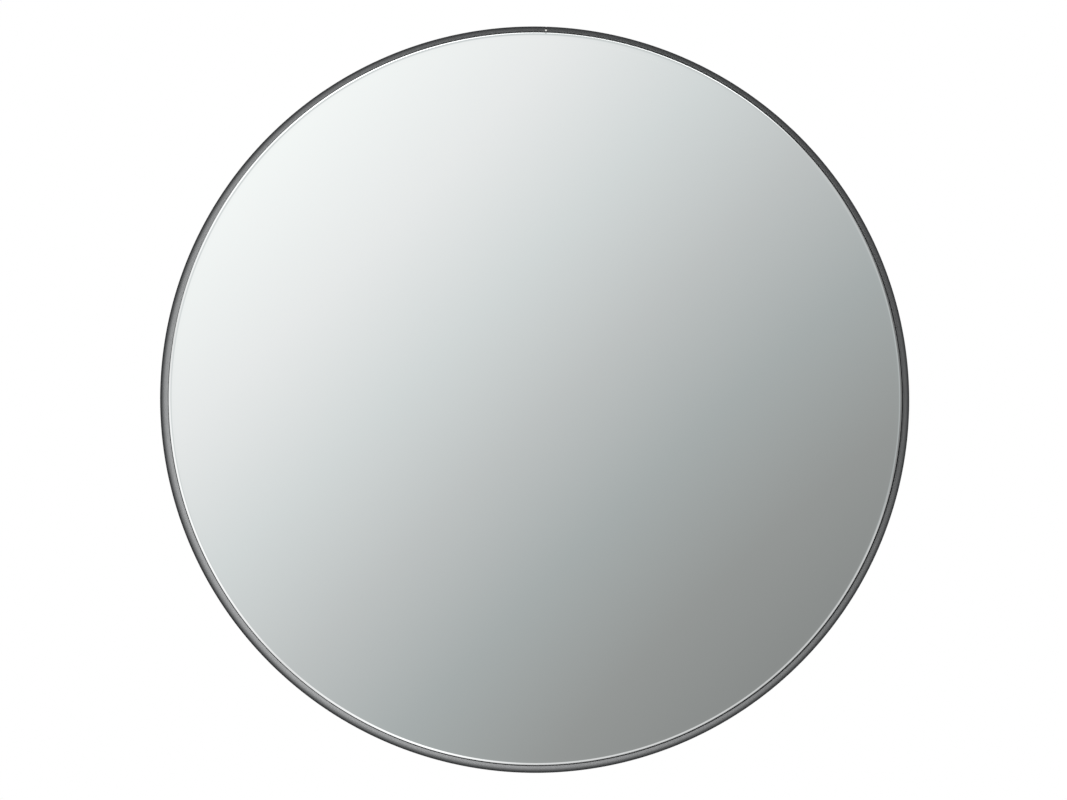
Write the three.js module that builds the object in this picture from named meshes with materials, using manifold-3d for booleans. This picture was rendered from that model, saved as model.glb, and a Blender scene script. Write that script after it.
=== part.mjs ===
// Convex security mirror on a telescopic wall arm, in millimetres.
//
// It is drawn as seen from the front: x to the right, y up and z out of the wall, with the
// origin in the middle of the wall plate's back. The last group stands that up, so that +Z is
// up and the mirror faces -Y. From the wall outwards: the wall bracket carries a tube that
// swings on an upright bolt; a second tube slides in it and is held by a clamp collar; a ball
// joint on its end, held by a lock ring, carries the mirror; and the mirror is a domed lens
// and a dished shell, held together round the edge by a rim.

import * as THREE from "three";
import { mergeVertices } from "three/addons/utils/BufferGeometryUtils.js";
import Module from "manifold-3d";

const wasm = await Module();
wasm.setup();

// Clearances.
const SEAT_GAP = 0.3; // between pieces that rest on each other
const RUN_GAP = 0.5; // between a piece that turns or slides and what it runs in

// How many sides a round piece has.
const LARGE_SIDES = 60;
const SMALL_SIDES = 24;
const PLATE_SIDES = 36;
const WASHER_SIDES = 16;
const FINE_SIDES = 12;

// Mirror head.
const MIRROR_DIAMETER = 600; // over the rim
const CURVATURE_RADIUS = 900; // of the domed face
const LENS_THICKNESS = 3;
const LENS_STEP = 2.2; // how far the dome's edge stands in front of the lens's flange
const EDGE_ROLL = 1.7; // radius that rounds the dome's edge
const LIP_GAP = 0.6; // between the dome's edge and the rim's lip
const SEAL_THICKNESS = 2;
const SEAL_WIDTH = 6;
const SHELL_WALL = 2.5;
const SHELL_DEPTH = 31; // of the dish, from its flange to its flat back
const SHELL_FLAT_RADIUS = 90;

// Rim channel and its joint.
const RIM_FACE = 5.8; // width of the bead on the front
const RIM_WALL = 1.5;
const RIM_BACK_LIP = 10; // width of the lip on the back
const RIM_LIP_EDGE = 1; // straight edge under the bead
const RIM_BEAD_HEIGHT = 2.4;
const RIM_CORNER = 1.2;
const RIM_JOINT_GAP = 0.8; // where the channel's two ends meet
const RIM_JOINT_ANGLE = THREE.MathUtils.degToRad(88.4); // anticlockwise from +x: nearly at the top
const SPLICE_THICKNESS = 1.2;
const SPLICE_SPREAD = THREE.MathUtils.degToRad(2.6); // to each side of the joint
const RIVET_SPREAD = THREE.MathUtils.degToRad(1.5);
const RIVET_RADIUS = 1.2;
const RIVET_HEAD_RADIUS = 2.4;
const RIVET_HEAD_HEIGHT = 0.9;

// Hub: the plates, bolts and nuts that fasten the shell to the ball stud.
const HUB_PLATE_RADIUS = 62;
const HUB_PLATE_THICKNESS = 4;
const BACKING_PLATE_THICKNESS = 3;
const HUB_BOLT_COUNT = 4;
const HUB_BOLT_CIRCLE_RADIUS = 44;
const HUB_BOLT_RADIUS = 3;
const HUB_HEX_RADIUS = 5.8; // over the corners
const HUB_BOLT_HEAD_HEIGHT = 4;
const HUB_NUT_HEIGHT = 5;
const HUB_BOLT_END = 2; // of thread past the nut

// Ball stud and socket.
const BALL_RADIUS = 17;
const BALL_TILT = THREE.MathUtils.degToRad(25); // each way, up and down and side to side
const NECK_RADIUS = 5.5;
const NECK_REACH = 12; // from the bowl's radius to the stud's flange
const STUD_FLANGE_RADIUS = 13;
const STUD_FLANGE_THICKNESS = 5;
const STUD_RADIUS = 6;
const STUD_WASHER_RADIUS = 12;
const STUD_WASHER_THICKNESS = 2.5;
const STUD_NUT_RADIUS = 10.9; // over the corners
const STUD_NUT_HEIGHT = 10;
const STUD_END = 3; // of thread past the nut
const LINER_WALL = 2;
const LINER_SPLIT = THREE.MathUtils.degToRad(4); // to each side of the ball's equator
const LINER_REAR = THREE.MathUtils.degToRad(148); // from the front axis
const MOUTH_CLEARANCE = THREE.MathUtils.degToRad(6); // round the neck at its furthest tilt
const SOCKET_WALL = 4;
const SOCKET_BARREL = 19; // length behind the ball's centre
const SOCKET_BACK = 11; // from the bowl back to the tube's end
const SOCKET_SPIGOT = 22; // length inside the tube
const RING_WALL = 3.6;
const RING_SLEEVE = 14; // length behind the ball's centre
const RING_FRONT_EDGE = 2.5; // in front of the mouth
const RING_GRIPS = 12;
const RING_GRIP_HEIGHT = 1.3;

// Telescopic arm.
const INNER_TUBE_RADIUS = 11;
const INNER_TUBE_WALL = 1.5;
const INNER_TUBE_SHOWING = 15; // in front of the bush, fully retracted
const OUTER_TUBE_WALL = 2;
const ARM_TRAVEL = 80;
const GLIDE_LENGTH = 6;
const GLIDE_SPIGOT = 12;
const STOP_GAP = 2; // left at each end of the travel
const BUSH_WALL = 1.4;
const BUSH_LENGTH = 10;
const BUSH_FLANGE = 2;
const COLLAR_WALL = 4;
const CLAMP_SCREW_RADIUS = 4;
const CLAMP_SCREW_SPACE = 2.5; // between the bush and the screw's hole
const CLAMP_BOSS_RADIUS = 9;
const CLAMP_BOSS_HEIGHT = 10; // above the collar
const CLAMP_PAD_LENGTH = 3.2;
const KNUCKLE_SPIGOT = 20;
const CROSS_PIN_RADIUS = 2.5;

// Wall bracket and its pivot.
const WALL_PLATE_RADIUS = 60;
const WALL_PLATE_THICKNESS = 5;
const WALL_HOLE_COUNT = 4;
const WALL_HOLE_CIRCLE_RADIUS = 46;
const WALL_HOLE_RADIUS = 3.5;
const WALL_SINK_RADIUS = 6.5; // mouth of the countersink
const WALL_SINK_DEPTH = 3;
const PIVOT_REACH = 32; // from the wall
const PIVOT_BOLT_RADIUS = 4;
const PIVOT_HEAD_RADIUS = 7.5; // over the corners
const PIVOT_HEAD_HEIGHT = 5.3;
const EAR_RADIUS = 15;
const EAR_THICKNESS = 5;
const EAR_ROOT = 1; // let into the plate
const KNUCKLE_RADIUS = 12.5;
const KNUCKLE_HEIGHT = 22;
const EAR_CLEARANCE = 2; // between the ears and the tube's end
const FRICTION_WASHER_THICKNESS = 1.5;
const PIVOT_WASHER_RADIUS = 9;
const PIVOT_WASHER_THICKNESS = 1.6;

// Hand knobs.
const KNOB_RADIUS = 16;
const KNOB_LOBES = 6;
const KNOB_LOBE_HEIGHT = 1.8;
const KNOB_HEIGHT = 13;
const KNOB_NECK_RADIUS = 8;
const KNOB_NECK_HEIGHT = 6;
const KNOB_THREAD_DEPTH = 14; // of the pivot bolt inside its knob

// Sizes that follow, in the head's own frame: z is 0 at the rim's back.
const rimRadius = MIRROR_DIAMETER / 2;
const rimOpening = rimRadius - RIM_FACE;
const seatRadius = rimRadius - RIM_WALL - SEAT_GAP;
const backLipRadius = rimRadius - RIM_BACK_LIP;
const shellFlangeBack = RIM_WALL + SEAT_GAP;
const sealBack = shellFlangeBack + SHELL_WALL + SEAT_GAP;
const lensFlangeBack = sealBack + SEAL_THICKNESS + SEAT_GAP;
const lensFlangeFront = lensFlangeBack + LENS_THICKNESS;
const lipBack = lensFlangeFront + SEAT_GAP;
const lensStepRadius = rimOpening - LIP_GAP;
const domeFootRadius = lensStepRadius - EDGE_ROLL;
const domeFoot = lensFlangeFront + LENS_STEP;
const shellBack = shellFlangeBack - SHELL_DEPTH;
const hubPlateBack = shellBack - SEAT_GAP - HUB_PLATE_THICKNESS;
const backingPlateBack = shellBack + SHELL_WALL + SEAT_GAP;
const backingPlateFront = backingPlateBack + BACKING_PLATE_THICKNESS;
const studFlangeBack = hubPlateBack - SEAT_GAP - STUD_FLANGE_THICKNESS;

// Ball joint, with the ball's centre at z 0. Angles are from the front axis.
const linerInside = BALL_RADIUS + RUN_GAP;
const linerOutside = linerInside + LINER_WALL;
const linerMouth = BALL_TILT + Math.asin(NECK_RADIUS / linerInside) + MOUTH_CLEARANCE;
const bowlRadius = linerOutside + RUN_GAP;
const cornerTilt = Math.acos(Math.cos(BALL_TILT) ** 2); // tilted both ways at once
const ringMouth = cornerTilt + Math.asin(NECK_RADIUS / bowlRadius) + MOUTH_CLEARANCE;
const barrelRadius = bowlRadius + SOCKET_WALL;
const socketReach = bowlRadius + SOCKET_BACK;
const ringBore = barrelRadius + RUN_GAP;
const ringRadius = ringBore + RING_WALL;
const ballStandoff = bowlRadius + NECK_REACH;
const ballCentre = studFlangeBack - ballStandoff;

// Arm, with z from the pivot.
const outerBore = INNER_TUBE_RADIUS + BUSH_WALL + 2 * SEAT_GAP;
const outerTubeRadius = outerBore + OUTER_TUBE_WALL;
const innerBore = INNER_TUBE_RADIUS - INNER_TUBE_WALL;
const clampHoleRadius = CLAMP_SCREW_RADIUS + RUN_GAP;
const clampScrewSetback = BUSH_LENGTH + CLAMP_SCREW_SPACE + clampHoleRadius; // from the tube's mouth
const collarBore = outerTubeRadius + SEAT_GAP;
const collarLength = clampScrewSetback + CLAMP_BOSS_RADIUS;
const clampBossReach = collarBore + COLLAR_WALL + CLAMP_BOSS_HEIGHT;
const tubeBack = EAR_RADIUS + EAR_CLEARANCE;
const glideBack = tubeBack + KNUCKLE_SPIGOT + STOP_GAP;
const clampScrewReach = glideBack + GLIDE_LENGTH + ARM_TRAVEL + STOP_GAP + clampHoleRadius;
const tubeMouth = clampScrewReach + clampScrewSetback;
const innerTubeBack = glideBack + GLIDE_LENGTH + SEAT_GAP;
const bushFront = tubeMouth + SEAT_GAP + BUSH_FLANGE;
const innerTubeFront = bushFront + INNER_TUBE_SHOWING;
const ballReach = innerTubeFront + SEAT_GAP + socketReach;

// Pivot stack, with z up from the arm's axis.
const frictionWasherFoot = KNUCKLE_HEIGHT / 2 + SEAT_GAP;
const earFoot = frictionWasherFoot + FRICTION_WASHER_THICKNESS + SEAT_GAP;
const pivotWasherFoot = earFoot + EAR_THICKNESS + SEAT_GAP;
const pivotHeadFoot = pivotWasherFoot + PIVOT_WASHER_THICKNESS + SEAT_GAP;
const pivotHole = PIVOT_BOLT_RADIUS + RUN_GAP;
const crossPinHole = CROSS_PIN_RADIUS + SEAT_GAP;

const material = (color, roughness, metalness) =>
  new THREE.MeshStandardMaterial({ color, roughness, metalness });
const mirrorFace = material(0xdfe5e6, 0.03, 1);
const rimMetal = material(0x55585a, 0.4, 0.85);
const shellPlastic = material(0x2b2d2f, 0.55, 0);
const armPaint = material(0x4a4d50, 0.45, 0.3);
const zincSteel = material(0xb6babd, 0.32, 1);
const knobPlastic = material(0x1d1e20, 0.5, 0);
const bearingNylon = material(0xe6e2d6, 0.5, 0);
const sealFoam = material(0x1a1a1a, 0.9, 0);

// A body turned about z, from [radius, z] points that start and end on the axis or run round
// a closed section.
function turned(points, sides = SMALL_SIDES) {
  const outline = points.map(([radius, z]) => new THREE.Vector2(radius, z));
  if (THREE.ShapeUtils.area(outline) < 0) outline.reverse();
  if (outline[0].x > 0) outline.push(outline[0].clone());
  return new THREE.LatheGeometry(outline, sides).rotateX(Math.PI / 2);
}

function rod(radius, from, to, sides = SMALL_SIDES) {
  return turned([[0, from], [radius, from], [radius, to], [0, to]], sides);
}

function tube(outside, inside, from, to, sides = SMALL_SIDES) {
  return turned([[inside, from], [outside, from], [outside, to], [inside, to]], sides);
}

// Points on an elliptical arc of a turned section.
function arc([radius, z], across, along, from, to, steps) {
  return Array.from({ length: steps + 1 }, (_, i) => {
    const angle = from + ((to - from) * i) / steps;
    return [radius + across * Math.cos(angle), z + along * Math.sin(angle)];
  });
}

// Points on a sphere about the origin, by the angle from its front pole.
function meridian(radius, from, to, steps) {
  return Array.from({ length: steps + 1 }, (_, i) => {
    const angle = from + ((to - from) * i) / steps;
    return [Math.max(0, radius * Math.sin(angle)), radius * Math.cos(angle)];
  });
}

function plate(shape, from, to, curveSegments = SMALL_SIDES / 2) {
  const settings = { depth: to - from, bevelEnabled: false, curveSegments };
  return new THREE.ExtrudeGeometry(shape, settings).translate(0, 0, from);
}

function solid(geometry) {
  const loose = geometry.index ? geometry.toNonIndexed() : geometry;
  const bare = new THREE.BufferGeometry().setAttribute("position", loose.getAttribute("position"));
  const { attributes, index } = mergeVertices(bare);
  const vertProperties = attributes.position.array;
  const triVerts = new Uint32Array(index.array);
  return new wasm.Manifold(new wasm.Mesh({ numProp: 3, vertProperties, triVerts }));
}

function geometryOf(body) {
  const { vertProperties, triVerts } = body.getMesh();
  const geometry = new THREE.BufferGeometry();
  geometry.setAttribute("position", new THREE.BufferAttribute(vertProperties, 3));
  geometry.setIndex(new THREE.BufferAttribute(triVerts, 1));
  geometry.computeVertexNormals();
  return geometry;
}

function join(...geometries) {
  return geometryOf(geometries.map(solid).reduce((whole, piece) => whole.add(piece)));
}

function cut(geometry, ...tools) {
  return geometryOf(tools.map(solid).reduce((rest, tool) => rest.subtract(tool), solid(geometry)));
}

// Angles of equally spaced pieces, the first halfway between +x and +y where there are four.
function spaced(count) {
  return Array.from({ length: count }, (_, i) => (2 * Math.PI * (i + 0.5)) / count);
}

function onCircle(geometry, radius, angle) {
  return geometry.translate(radius * Math.cos(angle), radius * Math.sin(angle), 0);
}

function place(group, name, geometry, finish) {
  const mesh = new THREE.Mesh(geometry, finish);
  mesh.name = name;
  group.add(mesh);
}

// A lobed outline, for a knob or a lock ring.
function lobed(radius, lobes, height, pointsPerLobe) {
  const count = lobes * pointsPerLobe;
  const points = Array.from({ length: count }, (_, i) => {
    const angle = (2 * Math.PI * i) / count;
    const reach = radius - (height * (1 - Math.cos(lobes * angle))) / 2;
    return new THREE.Vector2(reach * Math.cos(angle), reach * Math.sin(angle));
  });
  return new THREE.Shape(points);
}

// Mirror head.
function lens() {
  const sphereCentre = domeFoot - Math.sqrt(CURVATURE_RADIUS ** 2 - domeFootRadius ** 2);
  const dome = (sphere, foot, steps) =>
    Array.from({ length: steps + 1 }, (_, i) => {
      const radius = (foot * i) / steps;
      return [radius, sphereCentre + Math.sqrt(sphere ** 2 - radius ** 2)];
    });
  const front = dome(CURVATURE_RADIUS, domeFootRadius, 5);
  const roll = arc([domeFootRadius, domeFoot - EDGE_ROLL], EDGE_ROLL, EDGE_ROLL, Math.PI / 2, 0, 2).slice(1);
  const flange = [
    [lensStepRadius, lensFlangeFront],
    [seatRadius, lensFlangeFront],
    [seatRadius, lensFlangeBack],
    [lensStepRadius - LENS_THICKNESS, lensFlangeBack],
  ];
  const back = dome(CURVATURE_RADIUS - LENS_THICKNESS, lensStepRadius - LENS_THICKNESS, 4).reverse();
  return turned([...front, ...roll, ...flange, ...back], LARGE_SIDES);
}

function edgeSeal() {
  return tube(seatRadius, seatRadius - SEAL_WIDTH, sealBack, sealBack + SEAL_THICKNESS, LARGE_SIDES);
}

function hubHoles(from, to) {
  const radius = HUB_BOLT_RADIUS + SEAT_GAP;
  const depth = to - from;
  return spaced(HUB_BOLT_COUNT).map((angle) =>
    onCircle(rod(radius, from - depth, to + depth, FINE_SIDES), HUB_BOLT_CIRCLE_RADIUS, angle)
  );
}

function shell() {
  const foot = backLipRadius - RUN_GAP;
  const across = foot - SHELL_FLAT_RADIUS;
  const hole = STUD_RADIUS + RUN_GAP;
  const back = arc([SHELL_FLAT_RADIUS, shellFlangeBack], across, -SHELL_DEPTH, 0, Math.PI / 2, 5);
  const front = arc(
    [SHELL_FLAT_RADIUS, shellFlangeBack + SHELL_WALL], across - SHELL_WALL, -SHELL_DEPTH, Math.PI / 2, 0, 5,
  );
  const flange = [[seatRadius, shellFlangeBack + SHELL_WALL], [seatRadius, shellFlangeBack]];
  const centre = [[hole, shellBack], [hole, shellBack + SHELL_WALL]];
  const dish = turned([...flange, ...back, ...centre, ...front], LARGE_SIDES);
  return cut(dish, ...hubHoles(shellBack, shellBack + SHELL_WALL));
}

// A point on the rim's back lip, at an angle from the joint.
const jointPoint = (spread) => {
  const radius = rimRadius - RIM_BACK_LIP / 2;
  const angle = RIM_JOINT_ANGLE + spread;
  return [radius * Math.cos(angle), radius * Math.sin(angle)];
};
const rivetSides = [1, -1];

function rivetHoles(from, to) {
  return rivetSides.map((side) =>
    rod(RIVET_RADIUS + SEAT_GAP, from, to, FINE_SIDES).translate(...jointPoint(side * RIVET_SPREAD), 0)
  );
}

function rim() {
  const channel = rimRadius - RIM_WALL;
  const beadFoot = lipBack + RIM_LIP_EDGE;
  const bead = arc([rimRadius - RIM_FACE / 2, beadFoot], RIM_FACE / 2, RIM_BEAD_HEIGHT, 0, Math.PI, 6);
  const ring = turned([
    ...bead,
    [rimOpening, lipBack],
    [channel, lipBack],
    [channel, RIM_WALL],
    [backLipRadius, RIM_WALL],
    [backLipRadius, 0],
    [rimRadius - RIM_CORNER, 0],
    [rimRadius, RIM_CORNER],
  ], LARGE_SIDES);
  const depth = beadFoot + RIM_BEAD_HEIGHT;
  const joint = new THREE.BoxGeometry(4 * RIM_BACK_LIP, RIM_JOINT_GAP, 4 * depth)
    .translate(rimRadius, 0, 0)
    .rotateZ(RIM_JOINT_ANGLE);
  return cut(ring, joint, ...rivetHoles(-depth, RIM_WALL + SEAT_GAP));
}

function rimSplice() {
  const outside = rimRadius - RIM_CORNER;
  const inside = backLipRadius + RIM_CORNER;
  const shape = new THREE.Shape();
  const [start, end] = [RIM_JOINT_ANGLE - SPLICE_SPREAD, RIM_JOINT_ANGLE + SPLICE_SPREAD];
  shape.absarc(0, 0, outside, start, end, false);
  shape.absarc(0, 0, inside, end, start, true);
  const back = -SEAT_GAP - SPLICE_THICKNESS;
  return cut(plate(shape, back, -SEAT_GAP, 3), ...rivetHoles(2 * back, -back));
}

function rivet() {
  const seat = -2 * SEAT_GAP - SPLICE_THICKNESS;
  const head = arc([0, seat], RIVET_HEAD_RADIUS, -RIVET_HEAD_HEIGHT, Math.PI / 2, 0, 3);
  head[0][0] = 0;
  const shank = [[RIVET_RADIUS, seat], [RIVET_RADIUS, RIM_WALL], [0, RIM_WALL]];
  return turned([...head, ...shank], FINE_SIDES);
}

function drilledPlate(from, thickness) {
  const disc = tube(HUB_PLATE_RADIUS, STUD_RADIUS + RUN_GAP, from, from + thickness, PLATE_SIDES);
  return cut(disc, ...hubHoles(from, from + thickness));
}

function hexBar(radius, from, to) {
  return rod(radius, from, to, 6);
}

function hubBolt() {
  const headFront = hubPlateBack - SEAT_GAP;
  const end = backingPlateFront + SEAT_GAP + HUB_NUT_HEIGHT + HUB_BOLT_END;
  const shank = rod(HUB_BOLT_RADIUS, headFront - HUB_BOLT_HEAD_HEIGHT / 2, end, FINE_SIDES);
  return join(shank, hexBar(HUB_HEX_RADIUS, headFront - HUB_BOLT_HEAD_HEIGHT, headFront));
}

function hubNut() {
  const back = backingPlateFront + SEAT_GAP;
  const front = back + HUB_NUT_HEIGHT;
  const thread = rod(HUB_BOLT_RADIUS + SEAT_GAP, back - HUB_NUT_HEIGHT, front + HUB_NUT_HEIGHT, FINE_SIDES);
  return cut(hexBar(HUB_HEX_RADIUS, back, front), thread);
}

function addHead(group) {
  place(group, "mirror_lens", lens(), mirrorFace);
  place(group, "edge_seal", edgeSeal(), sealFoam);
  place(group, "back_shell", shell(), shellPlastic);
  place(group, "rim_channel", rim(), rimMetal);
  place(group, "rim_splice", rimSplice(), rimMetal);
  rivetSides.forEach((side, i) => {
    place(group, `rim_rivet_${i + 1}`, rivet().translate(...jointPoint(side * RIVET_SPREAD), 0), zincSteel);
  });
  place(group, "hub_plate", drilledPlate(hubPlateBack, HUB_PLATE_THICKNESS), zincSteel);
  place(group, "backing_plate", drilledPlate(backingPlateBack, BACKING_PLATE_THICKNESS), zincSteel);
  spaced(HUB_BOLT_COUNT).forEach((angle, i) => {
    place(group, `hub_bolt_${i + 1}`, onCircle(hubBolt(), HUB_BOLT_CIRCLE_RADIUS, angle), zincSteel);
    place(group, `hub_nut_${i + 1}`, onCircle(hubNut(), HUB_BOLT_CIRCLE_RADIUS, angle), zincSteel);
  });
}

// Ball joint, with the ball's centre at the origin.
const washerBack = backingPlateFront - ballCentre + SEAT_GAP;
const studNutBack = washerBack + STUD_WASHER_THICKNESS + SEAT_GAP;

function ballStud() {
  const neckAngle = Math.asin(NECK_RADIUS / BALL_RADIUS);
  const flangeFront = ballStandoff + STUD_FLANGE_THICKNESS;
  const end = studNutBack + STUD_NUT_HEIGHT + STUD_END;
  return turned([
    ...meridian(BALL_RADIUS, Math.PI, neckAngle, 8),
    [NECK_RADIUS, ballStandoff],
    [STUD_FLANGE_RADIUS, ballStandoff],
    [STUD_FLANGE_RADIUS, flangeFront],
    [STUD_RADIUS, flangeFront],
    [STUD_RADIUS, end],
    [0, end],
  ]);
}

function studWasher() {
  const bore = STUD_RADIUS + SEAT_GAP;
  return tube(STUD_WASHER_RADIUS, bore, washerBack, washerBack + STUD_WASHER_THICKNESS, WASHER_SIDES);
}

function studNut() {
  const front = studNutBack + STUD_NUT_HEIGHT;
  const thread = rod(STUD_RADIUS + SEAT_GAP, studNutBack - STUD_NUT_HEIGHT, front + STUD_NUT_HEIGHT);
  return cut(hexBar(STUD_NUT_RADIUS, studNutBack, front), thread);
}

function liner(from, to) {
  return turned([...meridian(linerOutside, from, to, 3), ...meridian(linerInside, to, from, 3)]);
}

function socketBody() {
  const shoulder = -socketReach;
  const spigot = innerBore - SEAT_GAP;
  const body = turned([
    ...meridian(bowlRadius, Math.PI, Math.PI / 2, 5),
    [barrelRadius, 0],
    [barrelRadius, -SOCKET_BARREL],
    [INNER_TUBE_RADIUS, shoulder],
    [spigot, shoulder],
    [spigot, shoulder - SOCKET_SPIGOT],
    [0, shoulder - SOCKET_SPIGOT],
  ]);
  return cut(body, crossPinTool(shoulder - SOCKET_SPIGOT / 2));
}

function lockRing() {
  const sphereFoot = Math.acos(SEAT_GAP / bowlRadius);
  const front = bowlRadius * Math.cos(ringMouth) + RING_FRONT_EDGE;
  const bore = turned([
    [0, -2 * RING_SLEEVE],
    [ringBore, -2 * RING_SLEEVE],
    [ringBore, SEAT_GAP],
    ...meridian(bowlRadius, sphereFoot, ringMouth, 4),
    [bowlRadius * Math.sin(ringMouth) + RING_FRONT_EDGE, front],
    [bowlRadius * Math.sin(ringMouth) + RING_FRONT_EDGE, 2 * front],
    [0, 2 * front],
  ]);
  const outline = lobed(ringRadius + RING_GRIP_HEIGHT, RING_GRIPS, RING_GRIP_HEIGHT, 4);
  const grip = plate(outline, -RING_SLEEVE, SEAT_GAP);
  const nose = turned([
    [0, -SEAT_GAP],
    [ringRadius, -SEAT_GAP],
    [ringRadius, SEAT_GAP],
    [ringRadius - RING_WALL, front],
    [0, front],
  ]);
  return cut(join(grip, nose), bore);
}

// Arm. A cross pin lies along x.
function crossPinTool(z) {
  const length = 4 * outerTubeRadius;
  return rod(crossPinHole, -length / 2, length / 2, FINE_SIDES).rotateY(Math.PI / 2).translate(0, 0, z);
}

function crossPin(halfLength, z) {
  return rod(CROSS_PIN_RADIUS, -halfLength, halfLength, FINE_SIDES).rotateY(Math.PI / 2).translate(0, 0, z);
}

const knucklePinReach = tubeBack + KNUCKLE_SPIGOT / 2;
const downwards = (geometry) => geometry.rotateX(Math.PI / 2);

function clampTool() {
  return downwards(rod(clampHoleRadius, 0, 2 * clampBossReach, FINE_SIDES)).translate(0, 0, clampScrewReach);
}

function outerTube() {
  const body = tube(outerTubeRadius, outerBore, tubeBack, tubeMouth);
  return cut(body, crossPinTool(knucklePinReach), clampTool());
}

function innerTube() {
  const pin = ballReach - socketReach - SOCKET_SPIGOT / 2;
  return cut(tube(INNER_TUBE_RADIUS, innerBore, innerTubeBack, innerTubeFront), crossPinTool(pin));
}

function knuckle() {
  const spigot = outerBore - SEAT_GAP;
  const eye = rod(KNUCKLE_RADIUS, -KNUCKLE_HEIGHT / 2, KNUCKLE_HEIGHT / 2).rotateX(-Math.PI / 2);
  const shank = new THREE.BoxGeometry(2 * KNUCKLE_RADIUS, KNUCKLE_HEIGHT, tubeBack - SEAT_GAP)
    .translate(0, 0, (tubeBack - SEAT_GAP) / 2);
  const plug = rod(spigot, EAR_RADIUS + RUN_GAP, tubeBack + KNUCKLE_SPIGOT);
  const bolt = rod(pivotHole, -KNUCKLE_HEIGHT, KNUCKLE_HEIGHT).rotateX(-Math.PI / 2);
  return cut(join(eye, shank, plug), bolt, crossPinTool(knucklePinReach));
}

function tubeBush() {
  const bore = INNER_TUBE_RADIUS + SEAT_GAP;
  const sleeve = outerBore - SEAT_GAP;
  return turned([
    [bore, tubeMouth - BUSH_LENGTH],
    [sleeve, tubeMouth - BUSH_LENGTH],
    [sleeve, tubeMouth + SEAT_GAP],
    [outerTubeRadius, tubeMouth + SEAT_GAP],
    [outerTubeRadius, bushFront],
    [bore, bushFront],
  ]);
}

function tubeGlide() {
  const spigot = innerBore - SEAT_GAP;
  const head = outerBore - RUN_GAP;
  const shoulder = innerTubeBack - SEAT_GAP;
  return turned([
    [0, glideBack], [head, glideBack], [head, shoulder], [spigot, shoulder],
    [spigot, shoulder + GLIDE_SPIGOT], [0, shoulder + GLIDE_SPIGOT],
  ]);
}

function clampCollar() {
  const band = rod(collarBore + COLLAR_WALL, tubeMouth - collarLength, tubeMouth);
  const boss = downwards(rod(CLAMP_BOSS_RADIUS, 0, clampBossReach)).translate(0, 0, clampScrewReach);
  const seat = rod(collarBore, tubeMouth - 2 * collarLength, tubeMouth + collarLength);
  return cut(join(band, boss), seat, clampTool());
}

const padTop = INNER_TUBE_RADIUS + RUN_GAP;
const screwTip = padTop + CLAMP_PAD_LENGTH + SEAT_GAP;

function clampPad() {
  const pad = rod(CLAMP_SCREW_RADIUS - SEAT_GAP, padTop, padTop + CLAMP_PAD_LENGTH, FINE_SIDES);
  return downwards(pad).translate(0, 0, clampScrewReach);
}

// A lobed hand knob whose neck starts at z 0 and whose grip lies beyond it.
function knobHead() {
  const foot = KNOB_NECK_HEIGHT;
  const grip = plate(lobed(KNOB_RADIUS, KNOB_LOBES, KNOB_LOBE_HEIGHT * 2, 6), foot, foot + KNOB_HEIGHT);
  return join(rod(KNOB_NECK_RADIUS, 0, foot + KNOB_HEIGHT / 2), grip);
}

function clampKnob() {
  const foot = clampBossReach + RUN_GAP;
  const screw = rod(CLAMP_SCREW_RADIUS, screwTip, foot + KNOB_HEIGHT / 2, FINE_SIDES);
  return downwards(join(knobHead().translate(0, 0, foot), screw)).translate(0, 0, clampScrewReach);
}

// Pivot stack, drawn with z up and stood up by its group.
function pivotBolt() {
  const end = -pivotHeadFoot - KNOB_THREAD_DEPTH;
  const shank = rod(PIVOT_BOLT_RADIUS, end, pivotHeadFoot + PIVOT_HEAD_HEIGHT / 2, FINE_SIDES);
  return join(shank, hexBar(PIVOT_HEAD_RADIUS, pivotHeadFoot, pivotHeadFoot + PIVOT_HEAD_HEIGHT));
}

function pivotKnob() {
  const depth = KNOB_THREAD_DEPTH + RUN_GAP;
  const knob = knobHead().rotateX(Math.PI).translate(0, 0, -pivotHeadFoot);
  return cut(knob, rod(pivotHole, -pivotHeadFoot - depth, 0, FINE_SIDES));
}

function pivotRing(radius, foot, thickness) {
  return tube(radius, pivotHole, foot, foot + thickness, WASHER_SIDES);
}

function ear() {
  const root = PIVOT_REACH - WALL_PLATE_THICKNESS + EAR_ROOT;
  const shape = new THREE.Shape();
  shape.moveTo(EAR_RADIUS, root);
  shape.lineTo(-EAR_RADIUS, root);
  shape.absarc(0, 0, EAR_RADIUS, Math.PI, 2 * Math.PI, false);
  shape.closePath();
  shape.holes.push(new THREE.Path().absarc(0, 0, pivotHole, 0, 2 * Math.PI, true));
  return plate(shape, earFoot, earFoot + EAR_THICKNESS);
}

function wallBracket() {
  const disc = rod(WALL_PLATE_RADIUS, 0, WALL_PLATE_THICKNESS, PLATE_SIDES);
  const upperEar = ear().rotateX(-Math.PI / 2).translate(0, 0, PIVOT_REACH);
  const lowerEar = upperEar.clone().rotateZ(Math.PI);
  const sinkFoot = WALL_PLATE_THICKNESS - WALL_SINK_DEPTH;
  const holes = spaced(WALL_HOLE_COUNT).map((angle) => onCircle(turned([
    [0, -WALL_PLATE_THICKNESS],
    [WALL_HOLE_RADIUS, -WALL_PLATE_THICKNESS],
    [WALL_HOLE_RADIUS, sinkFoot],
    [WALL_SINK_RADIUS, WALL_PLATE_THICKNESS],
    [WALL_SINK_RADIUS, 2 * WALL_PLATE_THICKNESS],
    [0, 2 * WALL_PLATE_THICKNESS],
  ], FINE_SIDES), WALL_HOLE_CIRCLE_RADIUS, angle));
  return cut(join(disc, upperEar, lowerEar), ...holes);
}

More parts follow.
